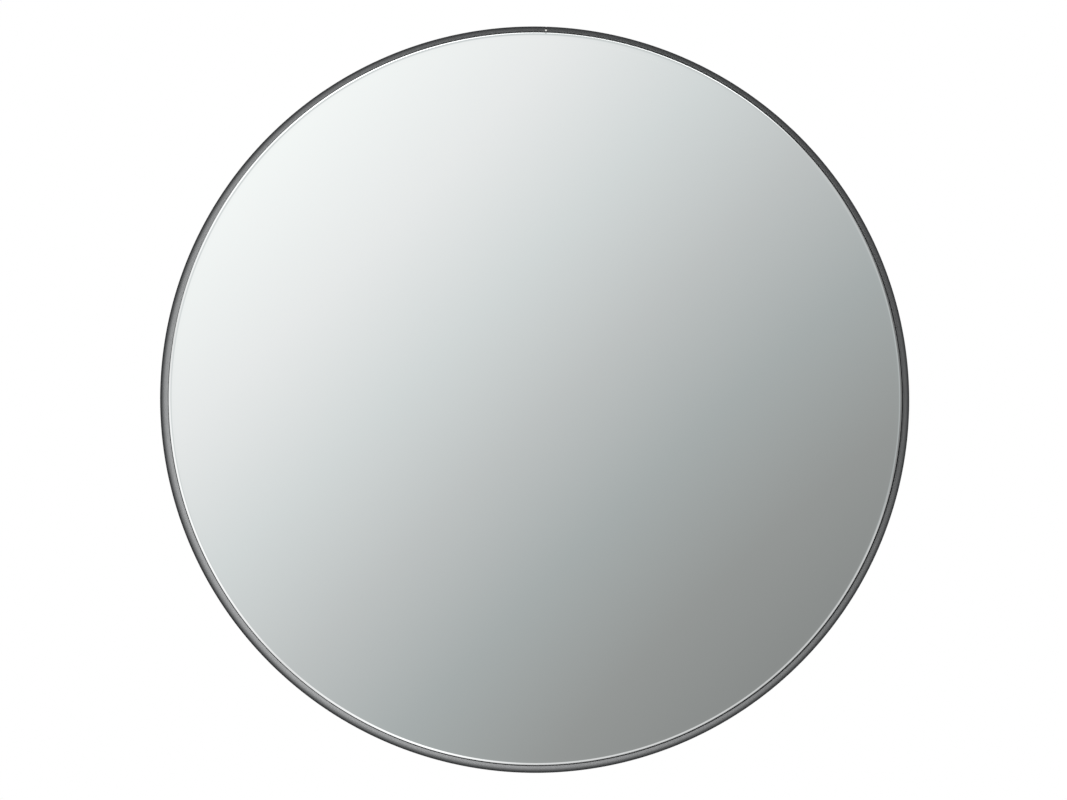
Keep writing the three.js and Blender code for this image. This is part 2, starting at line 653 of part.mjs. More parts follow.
function addWallSide(group) {
  place(group, "wall_bracket", wallBracket(), armPaint);
  const stack = new THREE.Group();
  stack.position.z = PIVOT_REACH;
  stack.rotation.x = -Math.PI / 2;
  group.add(stack);
  place(stack, "pivot_bolt", pivotBolt(), zincSteel);
  place(stack, "pivot_knob", pivotKnob(), knobPlastic);
  for (const [end, turn] of [["top", 0], ["bottom", Math.PI]]) {
    const half = new THREE.Group();
    half.rotation.x = turn;
    stack.add(half);
    const washer = pivotRing(PIVOT_WASHER_RADIUS, pivotWasherFoot, PIVOT_WASHER_THICKNESS);
    const friction = pivotRing(KNUCKLE_RADIUS, frictionWasherFoot, FRICTION_WASHER_THICKNESS);
    place(half, `pivot_washer_${end}`, washer, zincSteel);
    place(half, `friction_washer_${end}`, friction, bearingNylon);
  }
}

function addArm(group) {
  place(group, "arm_knuckle", knuckle(), armPaint);
  place(group, "knuckle_pin", crossPin(outerTubeRadius, knucklePinReach), zincSteel);
  place(group, "outer_tube", outerTube(), armPaint);
  place(group, "tube_bush", tubeBush(), knobPlastic);
  place(group, "clamp_collar", clampCollar(), armPaint);
  place(group, "clamp_pad", clampPad(), bearingNylon);
  place(group, "clamp_knob", clampKnob(), knobPlastic);
  place(group, "inner_tube", innerTube(), zincSteel);
  place(group, "tube_glide", tubeGlide(), bearingNylon);
}

function addBallJoint(group) {
  place(group, "socket_body", socketBody(), armPaint);
  place(group, "socket_pin", crossPin(INNER_TUBE_RADIUS, -socketReach - SOCKET_SPIGOT / 2), zincSteel);
  place(group, "lock_ring", lockRing(), knobPlastic);
  place(group, "liner_ring", liner(linerMouth, Math.PI / 2 - LINER_SPLIT), bearingNylon);
  place(group, "liner_cup", liner(Math.PI / 2 + LINER_SPLIT, LINER_REAR), bearingNylon);
  place(group, "ball_stud", ballStud(), zincSteel);
  place(group, "stud_washer", studWasher(), zincSteel);
  place(group, "stud_nut", studNut(), zincSteel);
}

const mirror = new THREE.Group();
mirror.rotation.x = Math.PI / 2;
const arm = new THREE.Group();
arm.position.z = PIVOT_REACH;
const ball = new THREE.Group();
ball.position.z = ballReach;
const head = new THREE.Group();
head.position.z = -ballCentre;
mirror.add(arm);
arm.add(ball);
ball.add(head);
addWallSide(mirror);
addArm(arm);
addBallJoint(ball);
addHead(head);

export default mirror;
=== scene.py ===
from math import acos, asin, cos, hypot, pi, radians, sin, sqrt, tan

import bmesh
import bpy
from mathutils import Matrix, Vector


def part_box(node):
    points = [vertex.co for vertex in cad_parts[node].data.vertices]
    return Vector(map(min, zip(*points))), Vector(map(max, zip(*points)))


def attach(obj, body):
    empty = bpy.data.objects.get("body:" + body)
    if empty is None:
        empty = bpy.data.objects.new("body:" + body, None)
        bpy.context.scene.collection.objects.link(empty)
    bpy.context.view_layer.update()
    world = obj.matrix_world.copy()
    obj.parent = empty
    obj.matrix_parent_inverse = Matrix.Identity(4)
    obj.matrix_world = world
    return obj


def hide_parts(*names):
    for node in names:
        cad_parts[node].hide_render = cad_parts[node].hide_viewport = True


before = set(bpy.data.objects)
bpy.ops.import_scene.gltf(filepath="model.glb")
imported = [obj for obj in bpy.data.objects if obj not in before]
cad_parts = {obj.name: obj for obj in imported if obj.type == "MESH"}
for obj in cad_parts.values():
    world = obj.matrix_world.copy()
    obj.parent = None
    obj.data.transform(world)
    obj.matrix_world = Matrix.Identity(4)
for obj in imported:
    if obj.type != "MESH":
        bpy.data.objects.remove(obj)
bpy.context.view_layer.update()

# Head.
CURVATURE_RADIUS = 0.9
LENS_THICKNESS = 0.003
FOOT_RING = 0.0009  # mean width of the nearly flat ring round the dome's foot
FOOT_RING_SWING = 0.85  # the ring is wider above than below, by this share
FOOT_RING_SLOPE = radians(3)
FOOT_BLEND = 0.003
EDGE_WIDTH = 0.00145  # mean width of the steeper edge outside the ring
EDGE_WIDTH_SWING = 0.2  # the edge is wider below than above, by this share
EDGE_BLEND = 0.0012
EDGE_SLOPE = radians(25)
EDGE_SLOPE_SWING = radians(3.5)  # the edge is steeper below than above
EDGE_CROWN = radians(1)  # the edge curves by this much to either side of its slope
LIP_GAP = 0.0005
LIP_GAP_SWING = 0.0003  # the lens stands further from the lip at its lower right
RIM_FACE = 0.005  # mean width of the visible face
RIM_SLACK = 0.0006  # the channel grips wider at its sides and narrower above and below
LENS_RISE = 0.0008  # the lens sits this far above the channel's centre
LENS_SHIFT = 0.00077  # and this far to its right
RIM_WALL = 0.0015
RIM_BACK_LIP = 0.010
RIM_BEAD_HEIGHT = 0.0024
RIM_LIP_FOOT = 0.001  # the lip goes this much deeper than the bead
RIM_CORNER = 0.0012
RIM_EDGE = 0.0005
RIM_FALL = radians(50)  # the face turns this far inward by its inner edge
RIM_JOINT_ANGLE = radians(88.4)
RIM_JOINT_GAP = 0.0008
SOLDER_WIDTH = 0.0014
SOLDER_LENGTH = 0.0013
SOLDER_TILT = radians(26)
SPLICE_SPREAD = radians(2.6)
RIVET_RISE = 0.0009
SHELL_WALL = 0.0025
SHELL_FLAT_RADIUS = 0.090
SHELL_STEP = 0.0009  # the shell is pressed in by this much under the hub
SHELL_STEP_INSET = 0.008
SHELL_STEP_SLANT = 0.003
SHELL_RIBS = 12
SHELL_RIB_HEIGHT = 0.0018
SHELL_RIB_SHARPNESS = 60
SHELL_RIB_INSET = 0.012
SHELL_RIB_FADES = (0.02, 0.03)  # lengths over which a rib rises from the hub and sinks to the rim
HUB_RISE = 0.0008  # the hub plate is this much thinner in its outer band
HUB_BAND = 0.006
HUB_SLANT = 0.002
HUB_BOLT_RADIUS = 0.003
HUB_HEX_FLATS = 0.010
HUB_BOLT_HEAD = 0.004

# Ball joint.
BALL_RADIUS = 0.017
BALL_TILT = radians(25)
MOUTH_CLEARANCE = radians(6)
NECK_RADIUS = 0.0055
STUD_RADIUS = 0.006
STUD_FLANGE_RADIUS = 0.013
STUD_FLANGE_THICKNESS = 0.005
STUD_NECK_LENGTH = 0.012  # from the front of the bowl's sphere to the flange
RUN_GAP = 0.0005
SEAT_GAP = 0.0003
LINER_WALL = 0.002
LINER_SPLIT = radians(4)
LINER_REAR = radians(148)
RING_FRONT_EDGE = 0.0025
RING_WALL = 0.0036
RING_GRIPS = 12
RING_GRIP_HEIGHT = 0.0013
RING_GRIP_FADE = 0.003  # the hollows deepen over this length from the ring's ends
RING_GRIP_ENDS = 0.0016  # and have come this far where they start
RING_STEP = 0.0006
SOCKET_WALL = 0.004
SOCKET_BARREL = 0.019
SOCKET_BACK = 0.011
SOCKET_SPIGOT = 0.022

# Arm and pivot.
INNER_TUBE_RADIUS = 0.011
INNER_TUBE_WALL = 0.0015
OUTER_TUBE_WALL = 0.002
BUSH_FLANGE = 0.002
CUTTER_MARGIN = 0.01  # tools that bore a piece run this far past it
CLAMP_BOSS_RADIUS = 0.009
CLAMP_SCREW_RADIUS = 0.004
KNOB_RADIUS = 0.016
KNOB_HEIGHT = 0.013
KNOB_LOBES = 6
KNOB_LOBE_HEIGHT = 0.0036
KNOB_NECK_RADIUS = 0.008
KNOB_NECK_HEIGHT = 0.006
KNOB_CORE_RADIUS = 0.0106  # the flutes stop here
KNOB_SLANT = 0.0012
KNOB_GROOVE = (0.008, 0.01)  # radii of the groove in the cap
KNOB_GROOVE_DEPTH = 0.0016
KNOB_GROOVE_SLANT = 0.0005
KNOB_CAP_FALL = (0.0004, 0.0006)  # depths of the groove's outer and inner edges
KNOB_BORE_DEPTH = 0.0145
KNUCKLE_RADIUS = 0.0125
KNUCKLE_HEIGHT = 0.022
SHANK_INSET = 0.0002
SHANK_GAP = 0.0004  # the knuckle's shank ends this far short of the tube
EAR_RADIUS = 0.015
EAR_THICKNESS = 0.005
WALL_PLATE_THICKNESS = 0.005
WALL_HOLES = 4
WALL_HOLE_CIRCLE = 0.046
WALL_HOLE_RADIUS = 0.0035
WALL_SINK_RADIUS = 0.0065
WALL_SINK_DEPTH = 0.003
PIVOT_HEX_FLATS = 0.013
PIVOT_BOLT_HEAD = 0.0053
KNUCKLE_BORE = 0.02  # half lengths of the tools that bore the knuckle and the ears
EAR_BORE = 0.03
PIVOT_BOLT_RADIUS = 0.004
WELD_RADIUS = 0.0019
WELD_RIPPLES = 11
WELD_RIPPLE = 0.1
WELD_SQUASH = 0.8
CAST_GRAIN = 0.00045  # castings are fused at this size
HEX_FACE = 0.46  # radius of a hexagon head's flat face, as a share of its width
HEX_CHAMFER = 0.35

# Finishes.
DUST_COLOUR = (0.36, 0.35, 0.33)
SILVER_FADE = (0.0003, 0.0007)  # the silver ends between these distances in front of the flange
RIM_PAINTED_SHADE_BAND = (0.0045, 0.0003)  # painted shade: the rim is painted darker between these distances from its outside

# Room.
FLOOR_DROP = 2.2  # the mirror hangs this high
FLOOR_RADIUS = 12.0
FLOOR_FADE = (0.35, 0.95)  # the floor fades out between these shares of its radius
CAMERA_DISTANCE = 2.03
CAMERA_AZIMUTH = radians(-1.2)
CAMERA_ELEVATION = radians(-5)
AIM_DROP = 0.003
AIM_LEFT = 0.0016
LENS_LENGTH = 85.0
STUDIO_TONES = (  # screen tones from high on the left to low on the right
    (-0.75, (245, 247, 246)), (-0.5, (232, 233, 233)), (-0.25, (211, 215, 215)), (0.0, (190, 193, 193)),
    (0.25, (167, 172, 172)), (0.5, (149, 151, 150)), (0.7, (137, 139, 138)),
)
STUDIO_LAST_TONE = (0.97, (0.2, 0.205, 0.205))
MIRROR_SHARE = 0.95  # share of the light that the mirror sends back
SIDE_LEAN = (0.97, 0.24)  # the sides' tones run from left to right, and a little upward
SIDE_TONES = (
    (0.08, 1.05), (0.13, 0.8), (0.276, 1.25), (0.395, 0.76), (0.605, 0.7), (0.724, 0.62), (0.873, 0.62),
    (0.92, 0.2),
)
SIDES_START = (0.185, 0.193)
OVERHEAD_START = (0.6, 0.74)
OVERHEAD_TONE = (2.6, 2.6, 2.6)
BACK_TONES = (  # dim behind the mirror, and pale straight behind
    (0.5, 0.62, (0.04, 0.041, 0.042)), (0.84, 0.95, (0.8, 0.8, 0.8)),
)
FILL = 0.04
LIGHTS = (  # name, place, size, power
    ("front_softbox", (5.25, -4.2, 5.25), 1.2, 1250),
    ("rear_softbox_left", (-1.9, 2.2, 1.6), 1.2, 80),
    ("rear_softbox_right", (2.2, 2.0, 1.2), 1.0, 45),
)


# --- Mesh making ---

# Direction of each axis, and the two directions that turn round it.
AXES = {
    "front": (Vector((0, -1, 0)), Vector((1, 0, 0)), Vector((0, 0, 1))),
    "up": (Vector((0, 0, 1)), Vector((1, 0, 0)), Vector((0, 1, 0))),
    "down": (Vector((0, 0, -1)), Vector((1, 0, 0)), Vector((0, 1, 0))),
    "right": (Vector((1, 0, 0)), Vector((0, 1, 0)), Vector((0, 0, 1))),
}
WALL_CENTRE = Vector((0, 0, 0))
ON_AXIS = 1e-7


def rounded(points, radius, steps=4):
    """A section with its corners rounded. It is closed unless it starts and ends on the axis.
    A point's third number, where it has one, is its own radius."""
    is_open = points[0][0] < ON_AXIS and points[-1][0] < ON_AXIS
    section = []
    for i, point in enumerate(points):
        here = Vector(point[:2])
        reach = point[2] if len(point) > 2 else radius
        if reach == 0 or (is_open and i in (0, len(points) - 1)):
            section.append(here)
            continue
        before = Vector(points[i - 1][:2]) - here
        after = Vector(points[(i + 1) % len(points)][:2]) - here
        corner = before.angle(after)
        if corner > radians(168):
            section.append(here)
            continue
        cut = min(reach / tan(corner / 2), 0.45 * before.length, 0.45 * after.length)
        start = here + before.normalized() * cut
        end = here + after.normalized() * cut
        for k in range(steps + 1):
            t = k / steps
            section.append(start * (1 - t) ** 2 + here * (2 * t * (1 - t)) + end * t ** 2)
    return section


def arc(centre, radius, start, end, steps, height=None):
    """Points on an arc of a section, or of an ellipse where a height is given."""
    height = radius if height is None else height
    angles = [start + (end - start) * k / steps for k in range(steps + 1)]
    return [(centre[0] + radius * cos(a), centre[1] + height * sin(a), 0) for a in angles]


def meridian(centre, radius, start, end, steps):
    """Points on a sphere, by the angle from its front pole."""
    angles = [start + (end - start) * k / steps for k in range(steps + 1)]
    return [(max(0.0, radius * sin(a)), centre + radius * cos(a), 0) for a in angles]


def object_of(name, vertices, faces):
    """A mesh object with its faces turned outward."""
    mesh = bpy.data.meshes.new(name)
    mesh.from_pydata(vertices, [], faces)
    work = bmesh.new()
    work.from_mesh(mesh)
    bmesh.ops.recalc_face_normals(work, faces=work.faces)
    work.to_mesh(mesh)
    work.free()
    piece = bpy.data.objects.new(name, mesh)
    bpy.context.scene.collection.objects.link(piece)
    return piece


def turned(name, section, origin=WALL_CENTRE, axis="front", sides=96, sweep=None, shape=None):
    """A section of (radius, along) points turned about an axis. The section may be a function of
    the angle, sweep is (start, end) in radians for part of a turn, and shape(radius, along, angle)
    moves a point."""
    forward, across, upward = AXES[axis]
    start, end = sweep or (0.0, 2 * pi)
    whole = sweep is None
    columns = sides if whole else sides + 1
    angles = [start + (end - start) * k / sides for k in range(columns)]
    sections = [section(angle) for angle in angles] if callable(section) else [section] * columns
    loop = sections[0][0][0] > ON_AXIS
    vertices = []
    rows = []
    for i, (first_radius, first_along) in enumerate(point[:2] for point in sections[0]):
        if first_radius < ON_AXIS:
            rows.append([len(vertices)] * columns)
            vertices.append(origin + forward * first_along)
            continue
        rows.append(list(range(len(vertices), len(vertices) + columns)))
        for angle, cut_here in zip(angles, sections):
            r, a = cut_here[i][:2]
            if shape:
                r, a = shape(r, a, angle)
            vertices.append(origin + forward * a + across * (r * cos(angle)) + upward * (r * sin(angle)))
    faces = []
    for i in range(len(rows) if loop else len(rows) - 1):
        low, high = rows[i], rows[(i + 1) % len(rows)]
        for k in range(sides):
            n = (k + 1) % columns
            face = list(dict.fromkeys((low[k], low[n], high[n], high[k])))
            if len(face) > 2:
                faces.append(face)
    if not whole:
        faces.append([row[0] for row in rows])
        faces.append([row[-1] for row in rows])
    return object_of(name, vertices, faces)


def milled(name, outline, low, high):
    """An outline in the xy plane, drawn up between two heights."""
    vertices = [Vector((x, y, z)) for z in (low, high) for x, y in outline]
    count = len(outline)
    faces = [list(range(count)), list(range(count, 2 * count))]
    for k in range(count):
        n = (k + 1) % count
        faces.append([k, n, count + n, count + k])
    return object_of(name, vertices, faces)


def ring_section(inside, outside, low, high, radius):
    """A plain ring's section, with its corners rounded."""
    return rounded([(inside, low), (outside, low), (outside, high), (inside, high)], radius)


def cylinder(name, radius, low, high, origin, axis, edge=0.0):
    """A round bar between two places along an axis, its edges rounded where an edge is given."""
    section = [(0.0, low), (radius, low, edge), (radius, high, edge), (0.0, high)]
    return turned(name, rounded(section, edge) if edge else section, origin, axis, sides=96)


def settle(piece):
    """Applies a piece's modifiers to its mesh."""
    graph = bpy.context.evaluated_depsgraph_get()
    old = piece.data
    piece.data = bpy.data.meshes.new_from_object(piece.evaluated_get(graph))
    piece.modifiers.clear()
    bpy.data.meshes.remove(old)
    return piece


def discard(pieces):
    """Removes working pieces, which go with their meshes."""
    for piece in pieces:
        bpy.data.meshes.remove(piece.data)


def cut(piece, tools):
    """Cuts tools out of a piece and removes them."""
    for tool in tools:
        modifier = piece.modifiers.new("cut", "BOOLEAN")
        modifier.operation = "DIFFERENCE"
        modifier.solver = "EXACT"
        modifier.object = tool
    settle(piece)
    discard(tools)
    return piece


def merge(pieces):
    """Joins meshes into the first of them, as separate shells of one object."""
    first = pieces[0]
    work = bmesh.new()
    for piece in pieces:
        work.from_mesh(piece.data)
    work.to_mesh(first.data)
    work.free()
    discard(pieces[1:])
    return first


def cast(pieces, voxel, softness):
    """Fuses overlapping solids into one casting with soft inside corners."""
    piece = merge(pieces)
    remesh = piece.modifiers.new("fuse", "REMESH")
    remesh.mode = "VOXEL"
    remesh.voxel_size = voxel
    smooth = piece.modifiers.new("soften", "SMOOTH")
    smooth.factor = 0.5
    smooth.iterations = softness
    return settle(piece)


def bevelled(piece, width, segments=3):
    """Rounds a piece's sharp edges."""
    bevel = piece.modifiers.new("edges", "BEVEL")
    bevel.width = width
    bevel.segments = segments
    bevel.limit_method = "ANGLE"
    bevel.angle_limit = radians(40)
    return settle(piece)


def fit(piece, body, finish, *nodes, smooth_angle=38):
    """Gives a finished piece its material, its body and the nodes that it stands for."""
    material, slot = finish
    piece.data.shade_smooth()
    piece.data.set_sharp_from_angle(angle=radians(smooth_angle))
    piece.data.materials.clear()
    piece.data.materials.append(material)
    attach(piece, body)
    if nodes:
        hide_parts(*nodes)
    return piece


# --- Shader node groups ---


def add(tree, kind, inputs=None, **settings):
    """A node with its settings, and its inputs by name or place: a socket is linked, a value is set."""
    item = tree.nodes.new(kind)
    for key, value in settings.items():
        setattr(item, key, value)
    for key, value in (inputs or {}).items():
        if isinstance(value, bpy.types.NodeSocket):
            tree.links.new(value, item.inputs[key])
        else:
            item.inputs[key].default_value = value
    return item


def maths(tree, operation, first, second=0.0):
    return add(tree, "ShaderNodeMath", {0: first, 1: second}, operation=operation).outputs[0]


def noise(tree, where, scale, detail, roughness=0.5):
    inputs = {"Vector": where, "Scale": scale, "Detail": detail, "Roughness": roughness}
    return add(tree, "ShaderNodeTexNoise", inputs).outputs[0]


def object_place(tree):
    """Where a point of the surface is in its own piece."""
    return add(tree, "ShaderNodeTexCoord").outputs["Object"]


def parts_of(tree, vector):
    return add(tree, "ShaderNodeSeparateXYZ", {0: vector}).outputs


def spread(tree, factor, low, high):
    """A value that runs between two limits as the factor goes from 0 to 1."""
    return add(tree, "ShaderNodeMapRange", {"Value": factor, "To Min": low, "To Max": high}).outputs[0]


def share_of(tree, value, low, high, **settings):
    """How far a value has come from one limit to another, from 0 to 1."""
    limits = {"Value": value, "From Min": low, "From Max": high}
    return add(tree, "ShaderNodeMapRange", limits, **settings).outputs[0]


def ramp(tree, factor, stops):
    """A colour ramp from (position, value or colour) stops."""
    item = add(tree, "ShaderNodeValToRGB", {0: factor})
    elements = item.color_ramp.elements
    while len(elements) < len(stops):
        elements.new(0.5)
    for element, (position, tone) in zip(elements, stops):
        element.position = position
        element.color = (tone, tone, tone, 1) if isinstance(tone, float) else (*tone, 1)
    return item.outputs[0]


def blend(tree, factor, first, second):
    """A mix of two colours, each a socket or a plain colour."""
    item = add(tree, "ShaderNodeMix", {0: factor}, data_type="RGBA")
    for place, value in ((6, first), (7, second)):
        if isinstance(value, bpy.types.NodeSocket):
            tree.links.new(value, item.inputs[place])
        else:
            item.inputs[place].default_value = (*value, 1)
    return item.outputs[2]


def two_tones(tree, factor, low, high):
    """Two tones that drift into each other."""
    return ramp(tree, factor, [(0.3, low), (0.7, high)])


def new_group(name, inputs, outputs):
    """A shader node group with float inputs (name, default) and float outputs."""
    tree = bpy.data.node_groups.new(name, "ShaderNodeTree")
    for label, default in inputs:
        socket = tree.interface.new_socket(name=label, in_out="INPUT", socket_type="NodeSocketFloat")
        socket.default_value = default
    for label in outputs:
        tree.interface.new_socket(name=label, in_out="OUTPUT", socket_type="NodeSocketFloat")
    return tree, tree.nodes.new("NodeGroupInput"), tree.nodes.new("NodeGroupOutput")


def connect(tree, target, **values):
    """Links values to a shader's or a group's inputs."""
    for label, value in values.items():
        tree.links.new(value, target.inputs[label.replace("_", " ")])


def place_group(tree, group, **values):
    """The outputs of a group placed in a material with its own values."""
    item = add(tree, "ShaderNodeGroup", node_tree=group)
    for label, value in values.items():
        item.inputs[label.replace("_", " ")].default_value = value
    return item.outputs


def grain_group():
    """Fine even grain of a moulded or sprayed skin, with slow drift in tone."""
    tree, given, result = new_group("grain", [("Size", 0.0006), ("Drift size", 0.05)], ["Height", "Drift"])
    where = object_place(tree)
    fine = maths(tree, "DIVIDE", 1.0, given.outputs["Size"])
    slow = maths(tree, "DIVIDE", 1.0, given.outputs["Drift size"])
    height, drift = noise(tree, where, fine, 3.0, 0.55), noise(tree, where, slow, 4.0, 0.6)
    connect(tree, result, Height=height, Drift=drift)
    return tree


def turning_group():
    """Fine lines that run round the mirror's axis, broken at the rim's joint."""
    outputs = ["Height", "Streak", "Radius"]
    tree, given, result = new_group("turning_lines", [("Spacing", 0.0003), ("Run", 0.02)], outputs)
    x, y, z = parts_of(tree, object_place(tree))
    right, up = cos(RIM_JOINT_ANGLE - pi), sin(RIM_JOINT_ANGLE - pi)
    across = maths(tree, "ADD", maths(tree, "MULTIPLY", x, right), maths(tree, "MULTIPLY", z, up))
    along = maths(tree, "SUBTRACT", maths(tree, "MULTIPLY", z, right), maths(tree, "MULTIPLY", x, up))
    angle = maths(tree, "ARCTAN2", along, across)
    squares = maths(tree, "ADD", maths(tree, "POWER", x, 2.0), maths(tree, "POWER", z, 2.0))
    radius = maths(tree, "SQRT", squares)
    arc_length = maths(tree, "MULTIPLY", angle, radius)
    places = {
        0: maths(tree, "DIVIDE", arc_length, given.outputs["Run"]),
        1: maths(tree, "DIVIDE", radius, given.outputs["Spacing"]),
        2: maths(tree, "DIVIDE", y, given.outputs["Spacing"]),
    }
    lines = add(tree, "ShaderNodeCombineXYZ", places).outputs[0]
    fine, slow = noise(tree, lines, 1.0, 4.0, 0.7), noise(tree, lines, 0.23, 2.0)
    connect(tree, result, Height=fine, Streak=slow, Radius=radius)
    return tree


def scuff_group():
    """Hairline scratches in places, and rubbed patches."""
    tree, given, result = new_group("scuffs", [("Size", 0.03), ("Amount", 0.5)], ["Scratch", "Rub"])
    where = object_place(tree)
    scale = maths(tree, "DIVIDE", 1.0, given.outputs["Size"])
    stretch = {"Vector": where, "Rotation": (0.9, 0.4, 0.7), "Scale": (1.0, 16.0, 1.0)}
    drawn = add(tree, "ShaderNodeMapping", stretch, vector_type="TEXTURE").outputs[0]
    marks = noise(tree, drawn, maths(tree, "MULTIPLY", scale, 5.0), 2.0)
    ridge = maths(tree, "ABSOLUTE", maths(tree, "SUBTRACT", marks, 0.5))
    hairline = ramp(tree, ridge, [(0.0, 1.0), (0.005, 0.0)])
    patches = noise(tree, where, scale, 5.0, 0.65)
    rubbed = ramp(tree, patches, [(0.5, 0.0), (0.72, 1.0)])
    scratched = maths(tree, "MULTIPLY", hairline, ramp(tree, patches, [(0.5, 0.0), (0.6, 1.0)]))
    amount = given.outputs["Amount"]
    rub = maths(tree, "MULTIPLY", rubbed, amount)
    connect(tree, result, Scratch=maths(tree, "MULTIPLY", scratched, amount), Rub=rub)
    return tree


def patchy_mask(tree, given, result, strength, detail, limits):
    """Ends a group: a strength broken up by noise, in the group's size and amount."""
    scale = maths(tree, "DIVIDE", 1.0, given.outputs["Size"])
    broken = noise(tree, object_place(tree), scale, detail, 0.7)
    patchy = ramp(tree, broken, [(limits[0], 0.0), (limits[1], 1.0)])
    mask = maths(tree, "MULTIPLY", strength, patchy)
    connect(tree, result, Mask=maths(tree, "MULTIPLY", mask, given.outputs["Amount"]))
    return tree


def edge_group():
    """Worn outer edges, broken up by noise."""
    tree, given, result = new_group("edge_wear", [("Amount", 0.5), ("Size", 0.004)], ["Mask"])
    pointed = add(tree, "ShaderNodeNewGeometry").outputs["Pointiness"]
    sharp = ramp(tree, pointed, [(0.515, 0.0), (0.58, 1.0)])
    return patchy_mask(tree, given, result, sharp, 4.0, (0.4, 0.62))


def dust_group():
    """Dust that settles on whatever faces up."""
    tree, given, result = new_group("dust", [("Amount", 0.4), ("Size", 0.02)], ["Mask"])
    facing = parts_of(tree, add(tree, "ShaderNodeNewGeometry").outputs["Normal"])
    upward = ramp(tree, facing["Z"], [(0.15, 0.0), (0.95, 1.0)])
    return patchy_mask(tree, given, result, upward, 6.0, (0.3, 0.75))


GRAIN = grain_group()
TURNING = turning_group()
SCUFFS = scuff_group()
EDGES = edge_group()
DUST = dust_group()


# --- Places read from the frame ---


def reaches(node):
    """How far a node's back and front stand out from the wall."""
    low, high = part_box(node)
    return -high.y, -low.y


def outer_radius(node):
    """The radius of a node that stands on the wall's axis."""
    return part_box(node)[1].x


def middle(node):
    """The middle of a node's box."""
    low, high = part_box(node)
    return (low + high) / 2


def on_wall(place):
    """The place on the wall that is behind another."""
    return Vector((place.x, 0, place.z))


rim_radius = outer_radius("rim_channel")
rim_back, rim_front = reaches("rim_channel")
seat_radius = rim_radius - RIM_WALL - SEAT_GAP
ball_reach = reaches("ball_stud")[0] + BALL_RADIUS
liner_inside = BALL_RADIUS + RUN_GAP
liner_outside = liner_inside + LINER_WALL
bowl_radius = liner_outside + RUN_GAP
liner_mouth = BALL_TILT + asin(NECK_RADIUS / liner_inside) + MOUTH_CLEARANCE
corner_tilt = acos(cos(BALL_TILT) ** 2)
ring_mouth = corner_tilt + asin(NECK_RADIUS / bowl_radius) + MOUTH_CLEARANCE
barrel_radius = bowl_radius + SOCKET_WALL
pivot = middle("pivot_bolt")
pivot.z = 0


# --- Finishes ---


def new_finish(name, **constants):
    """A material with its Principled shader's plain values set."""
    material = bpy.data.materials.new(name)
    material.use_nodes = True
    tree = material.node_tree
    shader = tree.nodes["Principled BSDF"]
    for label, value in constants.items():
        shader.inputs[label.replace("_", " ")].default_value = value
    return material, tree, shader


def bump(tree, shader, height, distance, strength):
    """Raises the surface where the height is high."""
    item = add(tree, "ShaderNodeBump", {"Height": height, "Distance": distance, "Strength": strength})
    connect(tree, shader, Normal=item.outputs[0])


def worn(tree, tone, scuffs, scratched, edges, rubbed, dust):
    """A tone with its scratches, worn edges and dust laid over it."""
    tone = blend(tree, scuffs["Scratch"], tone, scratched)
    tone = blend(tree, edges["Mask"], tone, rubbed)
    return blend(tree, dust["Mask"], tone, DUST_COLOUR)


def dusty(tree, roughness, dust, amount):
    """A roughness that dust raises by an amount."""
    return maths(tree, "ADD", roughness, maths(tree, "MULTIPLY", dust["Mask"], amount))


def mirror_finish():
    """Silvered acrylic: nearly perfect, with faint haze where it has been wiped. The silver ends
    at the flange, which is dark."""
    material, tree, shader = new_finish("silvered_acrylic", Metallic=1.0, Coat_Roughness=0.01, Coat_IOR=1.49)
    grain = place_group(tree, GRAIN, Size=0.0012, Drift_size=0.16)
    scuffs = place_group(tree, SCUFFS, Size=0.12, Amount=0.5)
    silver = blend(tree, grain["Drift"], (0.925, 0.945, 0.945), (0.94, 0.952, 0.95))
    flange = -reaches("mirror_lens")[0] - LENS_THICKNESS
    depth = parts_of(tree, object_place(tree))["Y"]
    bare = share_of(tree, depth, flange - SILVER_FADE[1], flange - SILVER_FADE[0])
    tone = blend(tree, bare, silver, (0.012, 0.012, 0.013))
    haze = maths(tree, "ADD", maths(tree, "MULTIPLY", scuffs["Rub"], 0.02), 0.012)
    coat = spread(tree, grain["Drift"], 0.5, 0.6)
    connect(tree, shader, Base_Color=tone, Roughness=haze, Coat_Weight=coat)
    return material


def rim_finish():
    """Satin grey channel with fine lines from rolling, with painted shade that darkens the outside of its
    face.
    """
    dull = {"Metallic": 0.05, "Specular_IOR_Level": 0.12, "Specular_Tint": (0.5, 0.5, 0.5, 1)}
    material, tree, shader = new_finish("satin_grey_rim", **dull)
    lines = place_group(tree, TURNING, Spacing=0.00035, Run=0.03)
    scuffs = place_group(tree, SCUFFS, Size=0.02, Amount=0.35)
    edges = place_group(tree, EDGES, Amount=0.35, Size=0.003)
    tone = two_tones(tree, lines["Streak"], (0.174, 0.177, 0.179), (0.198, 0.201, 0.203))
    for mask in (scuffs["Scratch"], edges["Mask"]):
        tone = blend(tree, mask, tone, (0.3, 0.3, 0.3))
    # Painted shade: the outer band of the face is painted near black, standing in for the shade on its outer
    # flank.
    inner, outer = (rim_radius - distance for distance in RIM_PAINTED_SHADE_BAND)
    painted_shade_share = share_of(tree, lines["Radius"], inner, outer, interpolation_type="SMOOTHSTEP")
    tone = blend(tree, painted_shade_share, tone, (0.022, 0.023, 0.024))
    connect(tree, shader, Base_Color=tone, Roughness=spread(tree, lines["Height"], 0.26, 0.42))
    bump(tree, shader, lines["Height"], 0.00002, 0.3)
    return material


